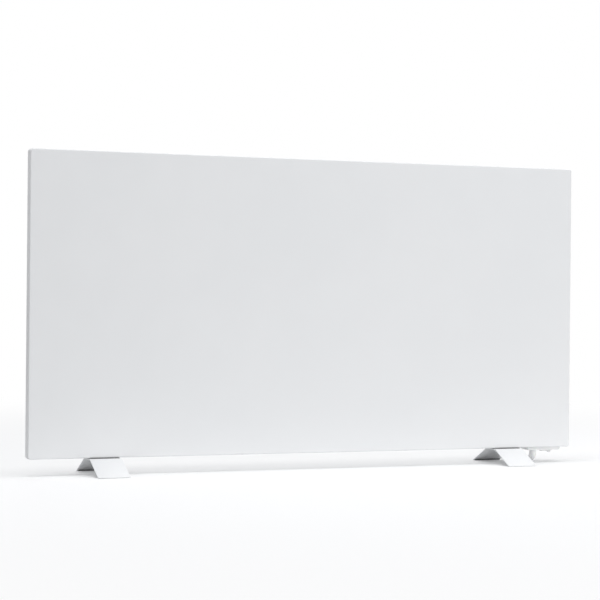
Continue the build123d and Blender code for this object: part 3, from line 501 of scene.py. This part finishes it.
# %% Screws of the control box
box_back, box_screw_x, box_screw_z = 0.0436, (0.518, 0.581), (0.034, 0.116)
box_seats = [(x, box_back, z) for x in box_screw_x for z in box_screw_z]
box_head = 0.0011
box_screw = turned_screw(head=0.0028, height=box_head, shank=0.0014, length=0.016)
cross_recess(box_screw, box_head, across=0.0030, deep=0.0008)
box_screws = repeat_at(box_screw, "control_box_screws", box_seats, to_wall)
hand_over(box_screws, "heater", "zinc", "box_screws")

# %% Socket screws under the feet
socket_head, socket_deep = 0.0035, 0.0020
key_radius, key_length = 0.00173, 0.003  # 3 mm across its flats
socket_screw = turned_screw(head=0.00475, height=socket_head, shank=0.0025, length=0.015)
key = new_disc("key", (0, 0, socket_head - socket_deep), key_radius, corners=6)
pick_faces(key, all_over)
grow((0, 0, key_length), 1)
clear_selection()
cut_out(socket_screw, key)
under = [(s * foot_middle + o, 0, foot_rise - sheet) for s in (-1, 1) for o in hole_offsets]
socket_screws = repeat_at(socket_screw, "foot_socket_screws", under, to_floor)
hand_over(socket_screws, "heater", "zinc", "foot_screws")

# %% [markdown]
# ## The threaded sleeves in the back
#
# Four sleeves with an M6 thread hold the panel on a wall. A bump on the bore could pass for a
# thread from afar, but the bore is open to view, so it gets real ridges: the disc goes in and out
# on its way down. A helix would cost far more faces and look no different at this size.

# %% Threaded sleeves
sleeve_radius, sleeve_length, brim_radius = 0.0041, 0.013, 0.0057
thread_root, thread_top, half_pitch, threads = 0.0030, 0.00262, 0.0005, 9
sleeve = new_disc("sleeve", (0, 0, -sleeve_length), sleeve_radius, corners=32)
pick_faces(sleeve, all_over)
tube = [(sleeve_length, sleeve_radius)]
brim = [(0, brim_radius), (0.0006, brim_radius), (0.0002, 0.0055)]
mouth = [(0, 0.0034), (-0.0004, thread_root)]
turn_profile(sleeve_radius, upward_z, *tube, *brim, *mouth)
one_thread = [(half_pitch, thread_top), (half_pitch, thread_root)]
turn_profile(thread_root, to_floor, *one_thread * threads)
sleeve_x, sleeve_z = (-0.450, 0.450), (0.1355, 0.5355)
sleeve_seats = [(x, back_face, z) for x in sleeve_x for z in sleeve_z]
sleeves = repeat_at(sleeve, "wall_sleeves", sleeve_seats, to_wall)
hand_over(sleeves, "heater", "zinc", "wall_mount_nuts")

# %% [markdown]
# ## The plug
#
# A round earthed plug with a ringed neck, moulded in one piece round its pins. It could be lofted,
# but it is round all over, so it is turned from one disc like the screws, with three shallow
# grooves to hold it by. The slots beside the pins, where the earth clips lie, are cut afterwards.

# %% Plug shell
plug_start = Vector((0.560, 0.188, 0.0186))
plug_roll = math.radians(25)
entry_radius, shell_radius, groove_radius = 0.0044, 0.0185, 0.0179
neck_rings = []  # each step is a length and a new radius
for ring in range(4):
    wide = 0.0046 + 0.0004 * ring
    narrow = wide - 0.0008
    neck_rings += [(0.0016, wide), (0.0002, narrow), (0.0008, narrow), (0.0002, wide)]
neck = [(0.0052, 0.0064), (0.0013, 0.0078), (0.0012, 0.0100), (0.0024, 0.0136)]
shoulder = [(0.0032, 0.0165), (0.0022, 0.0179), (0.0024, shell_radius)]
grips = [
    (0.0018, shell_radius), (0.0006, groove_radius),
    (0.0012, groove_radius), (0.0006, shell_radius),
] * 3
front = [(0.0087, shell_radius), (0.0008, 0.0181), (0.0004, 0.0173)]
plug = new_disc("round_plug", plug_start, entry_radius, corners=64, facing=to_wall)
pick_faces(plug, all_over)
turn_profile(entry_radius, to_wall, *neck_rings, *neck, *shoulder, *grips, *front)
clear_selection()
print("plug ends at", round(max(v.co.y for v in plug.data.vertices), 4))

# %% The two slots of the earth clips
slot_size, slot_out, slot_along = (0.008, 0.0422, 0.00375), 0.01725, Vector((0, 0.052, 0))
slot_way = Vector((math.sin(plug_roll), 0, -math.cos(plug_roll)))
for side in (-1, 1):
    clip_slot = new_block("slot", (0, 0, 0), slot_size)
    clip_slot.matrix_world = Matrix.Translation(
        plug_start + slot_along + slot_way * side * slot_out
    ) @ Matrix.Rotation(-plug_roll, 4, "Y")
    freeze(clip_slot)
    cut_out(plug, clip_slot)
plug_edge_break, sharp_angle = 0.0003, math.radians(60)
finish_with(
    plug, "BEVEL", width=plug_edge_break, segments=2, limit_method="ANGLE",
    angle_limit=sharp_angle,
)
hand_over(plug, "heater", "plug_white", "plug_body")

# %% [markdown]
# ## The strap round the coil
#
# A black hook-and-loop strap keeps the coil together. It is a long thin strip, so it starts as a
# short patch whose far edge is extruded along the straights and spun round the corners, until it
# lies on top of its own beginning. Then it gets its thickness.

# %% Hook-and-loop strap
strap_width, strap_sheet, strap_edge_break, corner = 0.010, 0.0006, 0.00012, 0.003
inner_reach, outer_reach, strap_low, strap_high = 0.0239, 0.0457, 0.0007, 0.0150
patch_middle, patch_length = 0.033, 0.004
patch_end = patch_middle + patch_length / 2
overlap = [(0.0012, 0.0001), (0.0022, 0.0007), (0.0060, 0), (0.0040, 0.0001), (0.0012, 0.0005)]
strap_place = math.radians(103.2)  # how far round the coil it sits


def lay(x, z):
    """Lead the strap straight on by this much."""
    bpy.ops.mesh.extrude_region_move(TRANSFORM_OT_translate={"value": (x, 0, z)})


def round_corner(x, z):
    """Lead the strap round a right-angled corner whose middle is here."""
    bpy.ops.mesh.spin(
        steps=5, angle=math.radians(-90), center=(x, 0, z), axis=(0, 1, 0), dupli=False
    )


clear_selection()
bpy.ops.mesh.primitive_plane_add(size=1, location=(patch_middle, 0, strap_high))
strap_piece = bpy.context.object
strap_piece.name = strap_piece.data.name = "hook_strap"
strap_piece.scale = (patch_length, strap_width, 1)
freeze(strap_piece)
pick_edges(strap_piece, lambda a, b: min(a.x, b.x) > patch_end - 1e-4)
lay(outer_reach - corner - patch_end, 0)
round_corner(outer_reach - corner, strap_high - corner)
lay(0, -(strap_high - strap_low - 2 * corner))
round_corner(outer_reach - corner, strap_low + corner)
lay(-(outer_reach - inner_reach - 2 * corner), 0)
round_corner(inner_reach + corner, strap_low + corner)
lay(0, strap_high - strap_low - 2 * corner)
round_corner(inner_reach + corner, strap_high - corner)
for across, up in overlap:  # over its own beginning and down again
    lay(across, up)
clear_selection()
finish_with(strap_piece, "SOLIDIFY", thickness=strap_sheet, offset=1, use_even_offset=True)
finish_with(strap_piece, "BEVEL", width=strap_edge_break, segments=1, limit_method="ANGLE")
strap_piece.matrix_world = Matrix.Translation(coil_middle) @ Matrix.Rotation(
    strap_place, 4, "Z"
)
freeze(strap_piece)
hand_over(strap_piece, "heater", "tie_black", "coil_tie")
print("strap height:", round(max(v.co.z for v in strap_piece.data.vertices), 4))

# %% [markdown]
# ## Marks on the buttons and the switch
#
# The three buttons carry a power sign, a plus and a minus, and the switch the usual line and
# circle. They could be printed, as a colour in the finish, but raised marks can be felt in the
# dark, and they stay sharp from any distance. Each mark rides on the part that it belongs to.

# %% Raised marks
mark_height, mark_line, mark_reach, mark_edge_break = 0.0004, 0.0007, 0.0036, 0.00006
ring_radius = 0.0018


def raised_bar(name, centre, size, turn=None):
    """A thin bar with broken edges."""
    bar = new_block(name, (0, 0, 0), size)
    finish_with(bar, "BEVEL", width=mark_edge_break, segments=2)
    bar.matrix_world = Matrix.Translation(centre) @ (turn or Matrix.Identity(4))
    return freeze(bar)


def raised_ring(name, centre, line, facing, height):
    """A flat ring, made from a disc whose middle is taken out."""
    ring = new_disc(name, centre, ring_radius, corners=40, facing=facing)
    pick_faces(ring, all_over)
    bpy.ops.mesh.inset(thickness=line)
    bpy.ops.mesh.delete(type="FACE")
    bpy.ops.mesh.select_all(action="SELECT")
    bpy.ops.mesh.extrude_region_move(
        TRANSFORM_OT_translate={"value": [height * f for f in facing]}
    )
    clear_selection()
    return ring

# %% Minus, plus and power sign on the buttons
button_face, button_y = 0.5916, 0.029
minus_z, plus_z, power_z = 0.059, 0.074, 0.089
level_bar = (mark_height, mark_reach, mark_line)
half_bar = (mark_height, mark_line, 0.00144)
half_way = 0.00108  # from the sign's middle to the middle of the upright's halves
minus = raised_bar("minus_mark", (button_face, button_y, minus_z), level_bar)
hand_over(minus, "button_low", "rocker_white")
plus = join_up(
    raised_bar("plus_mark", (button_face, button_y, plus_z), level_bar),
    raised_bar("plus_top", (button_face, button_y, plus_z + half_way), half_bar),
    raised_bar("plus_bottom", (button_face, button_y, plus_z - half_way), half_bar),
)
hand_over(plus, "button_mid", "rocker_white")
power_stroke, to_right = 0.0005, (1, 0, 0)
gap_up, gap_size = 0.0017, (0.002, 0.0013, 0.0016)
line_up, line_size = 0.0014, (mark_height, power_stroke, 0.0020)
power_ring = raised_ring(
    "power_mark", (button_face, button_y, power_z), power_stroke, to_right, height=0.0002
)
cut_out(power_ring, new_block("gap", (button_face, button_y, power_z + gap_up), gap_size))
power_line = raised_bar("power_line", (button_face, button_y, power_z + line_up), line_size)
power = join_up(power_ring, power_line)
hand_over(power, "button_high", "rocker_white")

# %% Line and circle on the rocker
pivot = Vector((0.563, 0.029, 0.0266))
lean = math.radians(9)
along = Vector((math.cos(lean), 0, -math.sin(lean)))
out = Vector((-math.sin(lean), 0, -math.cos(lean)))
dish_radius, dish_from_pivot = 0.04105, 0.0051
dish_middle = pivot + out * (dish_from_pivot + dish_radius)
mark_from_middle, circle_line, circle_sunk = 0.0062, 0.0006, 0.0001


def on_dish(distance):
    """A point on the rocker's hollow face and the way out of it there."""
    angle = math.asin(distance / dish_radius)
    way = -(along * -math.sin(angle) + out * math.cos(angle))
    return dish_middle + way * dish_radius, -way


spot, way = on_dish(-mark_from_middle)
face_turn = Vector(upward_z).rotation_difference(way).to_matrix().to_4x4()
on_mark = raised_bar("on_mark", spot, (0.0034, mark_line, mark_height), face_turn)
spot, way = on_dish(mark_from_middle)
off_mark = raised_ring(
    "off_mark", spot - way * circle_sunk, circle_line, way, height=0.0003
)
marks = join_up(on_mark, off_mark)
marks.name = marks.data.name = "switch_marks"
hand_over(marks, "rocker", "button_grey")

# %% [markdown]
# ## Finishes
#
# Each finish is a small node tree: a base colour that drifts between two close tones, a roughness
# that isn't quite even, and a fine bump. All of them read Object coordinates in metres, so the
# grain has its real size on every piece, and nothing slides when a part moves. What is the same all
# over a surface is set on the shader itself.

# %% Building blocks for a finish
finishes = {}
SHADER = "Principled BSDF"


def add_node(nodes, kind, values=None, **settings):
    """A new node, with its settings and its inputs' plain values."""
    node = nodes.new("ShaderNode" + kind)
    for setting, value in settings.items():
        setattr(node, setting, value)
    for socket, value in (values or {}).items():
        node.inputs[socket].default_value = value
    return node


def start_finish(name, **fixed):
    """A new material under the heater's finish name, with its even values set."""
    material = bpy.data.materials.new(name)
    material.use_nodes = True
    shader = material.node_tree.nodes[SHADER]
    for socket, value in fixed.items():
        shader.inputs[socket.replace("_", " ")].default_value = value
    finishes[name] = material
    print("finish:", name)
    return material


def grain(material, size, detail=2.0, stretch=(1, 1, 1)):
    """Noise whose features are about this size, in metres."""
    nodes, links = material.node_tree.nodes, material.node_tree.links
    coordinates = add_node(nodes, "TexCoord")
    mapping = add_node(nodes, "Mapping", {"Scale": stretch})
    noise = add_node(nodes, "TexNoise", {"Scale": 1 / size, "Detail": detail})
    links.new(coordinates.outputs["Object"], mapping.inputs["Vector"])
    links.new(mapping.outputs["Vector"], noise.inputs["Vector"])
    return noise.outputs["Fac"]


def tint(material, pattern, dark, light, span=(0.3, 0.7)):
    """Base colour that runs from dark to light with the pattern."""
    nodes, links = material.node_tree.nodes, material.node_tree.links
    ramp = add_node(nodes, "ValToRGB")
    for stop, place, colour in zip(ramp.color_ramp.elements, span, (dark, light)):
        stop.position, stop.color = place, (*colour, 1)
    links.new(pattern, ramp.inputs["Fac"])
    links.new(ramp.outputs["Color"], nodes[SHADER].inputs["Base Color"])


def dull(material, pattern, low_rough, high_rough):
    """Roughness that runs between two values with the pattern."""
    nodes, links = material.node_tree.nodes, material.node_tree.links
    spread = add_node(
        nodes, "MapRange",
        {"From Min": 0.3, "From Max": 0.7, "To Min": low_rough, "To Max": high_rough},
    )
    links.new(pattern, spread.inputs["Value"])
    links.new(spread.outputs["Result"], nodes[SHADER].inputs["Roughness"])


def emboss(material, pattern, height, strength=1.0):
    """Bump from the pattern, with this depth in metres."""
    nodes, links = material.node_tree.nodes, material.node_tree.links
    bump = add_node(nodes, "Bump", {"Distance": height, "Strength": strength})
    links.new(pattern, bump.inputs["Height"])
    links.new(bump.outputs["Normal"], nodes[SHADER].inputs["Normal"])

# %% White powder coat on the tray and the feet
coat = start_finish("white_enamel", Metallic=0.0, IOR=1.5, Specular_IOR_Level=0.5)
tint(coat, grain(coat, 0.35, 1.0), (0.815, 0.825, 0.835), (0.835, 0.842, 0.850))
dull(coat, grain(coat, 0.05, 3.0), 0.44, 0.52)
emboss(coat, grain(coat, 0.0012, 2.0), 0.00003, 0.6)

# %% Satin coat on the sheet behind
back_coat = start_finish("back_steel", IOR=1.5)
tint(back_coat, grain(back_coat, 0.2, 2.0), (0.74, 0.75, 0.76), (0.77, 0.78, 0.785))
dull(back_coat, grain(back_coat, 0.04, 3.0), 0.34, 0.42)
emboss(back_coat, grain(back_coat, 0.0016, 2.0), 0.00004, 0.6)

# %% Moulded white plastic, spark-eroded
shell = start_finish("white_plastic", IOR=1.46, Subsurface_Weight=0.04, Subsurface_Scale=0.002)
tint(shell, grain(shell, 0.03, 2.0), (0.865, 0.868, 0.865), (0.885, 0.888, 0.885))
dull(shell, grain(shell, 0.01, 3.0), 0.42, 0.50)
emboss(shell, grain(shell, 0.0004, 2.0), 0.00002, 0.8)

plug_white = start_finish("plug_white", IOR=1.46, Subsurface_Weight=0.04, Subsurface_Scale=0.002)
tint(plug_white, grain(plug_white, 0.02, 2.0), (0.82, 0.82, 0.81), (0.84, 0.84, 0.835))
dull(plug_white, grain(plug_white, 0.006, 3.0), 0.36, 0.46)
emboss(plug_white, grain(plug_white, 0.0005, 2.0), 0.00002, 0.8)

# %% Soft plastic of the cord
soft_white = start_finish("cord_white", IOR=1.5, Subsurface_Weight=0.05, Subsurface_Scale=0.002)
tint(soft_white, grain(soft_white, 0.05, 2.0), (0.80, 0.80, 0.79), (0.83, 0.83, 0.825))
dull(soft_white, grain(soft_white, 0.008, 3.0), 0.40, 0.55)
emboss(soft_white, grain(soft_white, 0.0009, 2.0), 0.00003, 0.7)

# %% Small moulded plastics
for name, dark, light, rough in (
    ("black_case", (0.012, 0.012, 0.013), (0.018, 0.018, 0.019), 0.28),
    ("rocker_white", (0.79, 0.79, 0.79), (0.82, 0.82, 0.82), 0.20),
    ("button_grey", (0.17, 0.175, 0.185), (0.20, 0.205, 0.215), 0.42),
):
    plastic = start_finish(name, IOR=1.47)
    tint(plastic, grain(plastic, 0.008, 2.0), dark, light)
    dull(plastic, grain(plastic, 0.003, 3.0), rough, rough + 0.10)
    emboss(plastic, grain(plastic, 0.0004, 2.0), 0.000015, 0.8)

# %% Rubber of the wedges, spacers and sleeve
rubber = start_finish("black_rubber", IOR=1.5, Specular_IOR_Level=0.35)
tint(rubber, grain(rubber, 0.004, 3.0), (0.105, 0.105, 0.108), (0.145, 0.145, 0.148))
dull(rubber, grain(rubber, 0.002, 3.0), 0.62, 0.80)
emboss(rubber, grain(rubber, 0.0006, 3.0), 0.00005, 0.8)

# %% Zinc-plated steel and nickel-plated brass
for name, dark, light in (
    ("zinc", (0.50, 0.51, 0.54), (0.66, 0.67, 0.68)),
    ("brass_plated", (0.60, 0.58, 0.53), (0.72, 0.70, 0.66)),
):
    plated = start_finish(name, Metallic=1.0)
    tint(plated, grain(plated, 0.003, 3.0), dark, light)
    dull(plated, grain(plated, 0.0008, 3.0), 0.24, 0.38)
    emboss(plated, grain(plated, 0.0003, 2.0, (1, 1, 6)), 0.00001, 0.6)

# %% Woven strap round the coil
strap = start_finish("tie_black", IOR=1.5, Sheen_Weight=0.4, Sheen_Roughness=0.5)
tint(strap, grain(strap, 0.0009, 2.0, (1, 1, 0.3)), (0.012, 0.012, 0.013), (0.035, 0.035, 0.037))
dull(strap, grain(strap, 0.001, 2.0), 0.75, 0.92)
emboss(strap, grain(strap, 0.0006, 3.0, (0.4, 0.4, 1)), 0.00012, 0.9)

# %% The heating sandwich
mica = start_finish("mica", IOR=1.56)
tint(mica, grain(mica, 0.006, 4.0), (0.42, 0.38, 0.28), (0.62, 0.57, 0.46))
dull(mica, grain(mica, 0.003, 3.0), 0.35, 0.6)
emboss(mica, grain(mica, 0.002, 3.0), 0.00005, 0.8)

film = start_finish("element", IOR=1.5)
tint(film, grain(film, 0.012, 1.0, (0.02, 1, 1)), (0.010, 0.010, 0.011), (0.03, 0.03, 0.032))
dull(film, grain(film, 0.004, 2.0), 0.35, 0.5)
emboss(film, grain(film, 0.012, 1.0, (0.02, 1, 1)), 0.00005, 0.6)

foil = start_finish("foil", Metallic=1.0)
tint(foil, grain(foil, 0.02, 3.0), (0.78, 0.79, 0.80), (0.88, 0.88, 0.89))
dull(foil, grain(foil, 0.01, 3.0), 0.16, 0.32)
emboss(foil, grain(foil, 0.012, 4.0), 0.0004, 0.7)

wool = start_finish("wool", IOR=1.5, Sheen_Weight=0.3, Sheen_Roughness=0.6)
tint(wool, grain(wool, 0.004, 5.0, (0.3, 1, 1)), (0.58, 0.52, 0.38), (0.78, 0.73, 0.60))
dull(wool, grain(wool, 0.002, 3.0), 0.85, 0.98)
emboss(wool, grain(wool, 0.0012, 4.0, (0.3, 1, 1)), 0.0004, 0.9)

# %% Inside the control box
for name, dark, light, rough, size in (
    ("board", (0.008, 0.075, 0.030), (0.014, 0.115, 0.050), 0.30, 0.0018),
    ("relay_case", (0.012, 0.050, 0.200), (0.018, 0.065, 0.240), 0.26, 0.006),
    ("terminal", (0.030, 0.170, 0.060), (0.042, 0.200, 0.080), 0.40, 0.005),
    ("lead_wire", (0.30, 0.012, 0.010), (0.38, 0.022, 0.018), 0.50, 0.004),
):
    made = start_finish(name, IOR=1.5)
    tint(made, grain(made, size, 2.0), dark, light)
    dull(made, grain(made, size / 2, 3.0), rough, rough + 0.12)
    emboss(made, grain(made, size / 6, 2.0), 0.00002, 0.8)

can = start_finish("capacitor_can", Metallic=0.6)
tint(can, grain(can, 0.01, 1.0, (0.05, 1, 0.05)), (0.03, 0.045, 0.14), (0.05, 0.07, 0.20))
dull(can, grain(can, 0.002, 3.0), 0.28, 0.40)
emboss(can, grain(can, 0.0006, 2.0), 0.00002, 0.7)

lens_clear = start_finish("lens", IOR=1.49, Transmission_Weight=0.75)
tint(lens_clear, grain(lens_clear, 0.002, 2.0), (0.80, 0.84, 0.82), (0.88, 0.90, 0.89))
dull(lens_clear, grain(lens_clear, 0.001, 2.0), 0.12, 0.22)
emboss(lens_clear, grain(lens_clear, 0.0005, 2.0), 0.00001, 0.6)

# %% [markdown]
# ## Putting the finishes on
#
# Every solid already names its finish in the heater's record, so one pass dresses them all. A new
# piece names its finish the same way. Only the objects' material slots change, never their meshes.

# %% Dress the solids and the new pieces
for part in frame["record"]["subparts"]:
    solid = frame["nodes"][part["node"]]
    solid.data.materials.clear()
    solid.data.materials.append(finishes[part["material_slot"]])
for piece in bpy.context.scene.objects:
    if piece.get("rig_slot"):
        piece.data.materials.clear()
        piece.data.materials.append(finishes[piece["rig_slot"]])

# %% [markdown]
# ## Floor and light
#
# The picture has no horizon: a pale floor runs into a pale backdrop. A curved backdrop would work,
# but a flat floor that is large enough, under a white surround, looks the same from every side. The
# camera and reflections see matt white paper that keeps the heater's shadow, glows a little and
# fades into plain white far away. All other rays see a dimmer floor, which leaves the side wall in
# its shade, apart from a strip under the heater and in front that lights its lower half.

# %% Floor
clear_selection()
bpy.ops.mesh.primitive_grid_add(x_subdivisions=8, y_subdivisions=8, size=24, location=(0, 4, 0))
floor = bpy.context.object
floor.name = "pale_floor"
freeze(floor)
paper = bpy.data.materials.new("white_paper")
paper.use_nodes = True
floor.data.materials.append(paper)
print("floor:", floor.dimensions[:])

# %% What the camera sees of the floor
def seen_directly(nodes, links):
    """1 for camera, mirror and see-through rays, 0 for the light that falls on things."""
    path = add_node(nodes, "LightPath")
    first_two = add_node(nodes, "Math", operation="MAXIMUM")
    links.new(path.outputs["Is Camera Ray"], first_two.inputs[0])
    links.new(path.outputs["Is Glossy Ray"], first_two.inputs[1])
    all_three = add_node(nodes, "Math", operation="MAXIMUM")
    links.new(first_two.outputs[0], all_three.inputs[0])
    links.new(path.outputs["Is Transmission Ray"], all_three.inputs[1])
    return all_three.outputs[0]


paper_white, paper_glow = 0.89, 0.07
fade_from, fade_to = 0.7, 2.6  # metres from the heater's middle
paper_nodes, paper_links = paper.node_tree.nodes, paper.node_tree.links
matt = paper_nodes[SHADER]
matt.inputs["Base Color"].default_value = (paper_white, paper_white, paper_white, 1)
matt.inputs["Roughness"].default_value = 0.9
matt.inputs["Specular IOR Level"].default_value = 0.2
glow = add_node(paper_nodes, "Emission", {"Strength": paper_glow})
near_floor = add_node(paper_nodes, "AddShader")
paper_links.new(matt.outputs[0], near_floor.inputs[0])
paper_links.new(glow.outputs[0], near_floor.inputs[1])
far_floor = add_node(paper_nodes, "Emission")  # as white as the surround
where = add_node(paper_nodes, "TexCoord")
distance = add_node(paper_nodes, "VectorMath", operation="LENGTH")
paper_links.new(where.outputs["Object"], distance.inputs[0])
ease = add_node(
    paper_nodes, "MapRange", {"From Min": fade_from, "From Max": fade_to},
    interpolation_type="SMOOTHSTEP",
)
paper_links.new(distance.outputs["Value"], ease.inputs["Value"])
fade = add_node(paper_nodes, "MixShader")
paper_links.new(ease.outputs["Result"], fade.inputs["Fac"])
paper_links.new(near_floor.outputs[0], fade.inputs[1])
paper_links.new(far_floor.outputs[0], fade.inputs[2])
print("floor fades to white from", fade_from, "to", fade_to, "m")

# %% What the floor throws back
dim_level, strip_level = 0.36, 0.86
strip = (  # metres behind the panel, and how far the strip is between dim and bright there
    (-0.42, 0), (-0.24, 0.45), (-0.10, 0.45), (-0.05, 1), (0.08, 1), (0.20, 0),
)
strip_span = 1.0  # the ramp runs from this far in front to this far behind
left_dim, left_bright = -0.75, -0.55  # no strip at the left of the first, all of it past the second
axes = add_node(paper_nodes, "SeparateXYZ")
paper_links.new(where.outputs["Object"], axes.inputs[0])
across = add_node(paper_nodes, "MapRange", {"From Min": -strip_span, "From Max": strip_span})
paper_links.new(axes.outputs["Y"], across.inputs["Value"])
band = add_node(paper_nodes, "ValToRGB")
band.color_ramp.interpolation = "EASE"
for _ in strip[1:-1]:
    band.color_ramp.elements.new(0.5)
for stop, (behind, share) in zip(band.color_ramp.elements, strip):
    stop.position = (behind + strip_span) / (2 * strip_span)
    stop.color = (share, share, share, 1)
paper_links.new(across.outputs["Result"], band.inputs["Fac"])
level = add_node(paper_nodes, "MapRange", {"To Min": dim_level, "To Max": strip_level})
paper_links.new(band.outputs["Color"], level.inputs["Value"])
inward = add_node(
    paper_nodes, "MapRange", {"From Min": left_dim, "From Max": left_bright},
    interpolation_type="SMOOTHSTEP",
)
paper_links.new(axes.outputs["X"], inward.inputs["Value"])
bounce = add_node(paper_nodes, "MapRange", {"To Min": dim_level})
paper_links.new(inward.outputs["Result"], bounce.inputs["Value"])
paper_links.new(level.outputs["Result"], bounce.inputs["To Max"])
thrown_back = add_node(paper_nodes, "BsdfDiffuse")
paper_links.new(bounce.outputs["Result"], thrown_back.inputs["Color"])
choose = add_node(paper_nodes, "MixShader")
paper_links.new(seen_directly(paper_nodes, paper_links), choose.inputs["Fac"])
paper_links.new(thrown_back.outputs[0], choose.inputs[1])
paper_links.new(fade.outputs[0], choose.inputs[2])
paper_links.new(choose.outputs[0], paper_nodes["Material Output"].inputs["Surface"])
print("floor throws back", dim_level, "to", strip_level)

# %% [markdown]
# ## Light
#
# Product pictures of white things use large soft sources. Here the surround gives most of the
# light, and five softboxes shape it: one above for what looks up, one at the front right that makes
# the panel's face a little lighter towards that end, a low wide one that reaches the feet, one for
# the back, and a weak one at the left, where the side wall stays in half shade.

# %% Surround
sky_colour, sky_strength = (0.97, 0.98, 1.0, 1), 0.64
surround = bpy.data.worlds.new("surround")
bpy.context.scene.world = surround
surround.use_nodes = True
sky_nodes, sky_links = surround.node_tree.nodes, surround.node_tree.links
sky = sky_nodes["Background"]
sky.inputs["Color"].default_value = sky_colour
sky.inputs["Strength"].default_value = sky_strength
white = add_node(sky_nodes, "Background", {"Color": (1, 1, 1, 1), "Strength": 1.0})
pick = add_node(sky_nodes, "MixShader")
sky_links.new(seen_directly(sky_nodes, sky_links), pick.inputs["Fac"])
sky_links.new(sky.outputs[0], pick.inputs[1])
sky_links.new(white.outputs[0], pick.inputs[2])
sky_links.new(pick.outputs[0], sky_nodes["World Output"].inputs["Surface"])
print("surround:", sky_strength)

# %% Softboxes
softboxes = (  # name, place, aim, width and height in metres, power in watts
    ("overhead_softbox", (0.2, -0.2, 3.0), (0.2, -0.1, 0), (3.6, 1.0), 38),
    ("front_softbox", (3.0, -3.6, 1.2), (0.2, 0, 0.2), (2.4, 2.0), 31),
    ("low_softbox", (0.9, -4.4, 0.42), (0.3, 0, 0.1), (3.2, 0.7), 43),
    ("left_softbox", (-3.2, 0.4, 1.5), (-0.6, 0, 0.5), (1.4, 1.4), 2.5),
    ("rear_softbox", (1.2, 3.8, 1.5), (0.1, 0, 0.3), (2.4, 1.6), 16),
)
for name, place, aim, (width, height), power in softboxes:
    lamp = bpy.data.lights.new(name, "AREA")
    lamp.shape = "RECTANGLE"
    lamp.size, lamp.size_y, lamp.energy = width, height, power
    box = bpy.data.objects.new(name, lamp)
    bpy.context.scene.collection.objects.link(box)
    box.location = place
    direction = Vector(aim) - Vector(place)
    box.rotation_euler = direction.to_track_quat("-Z", "Y").to_euler()
print("lamps:", len(bpy.data.lights))
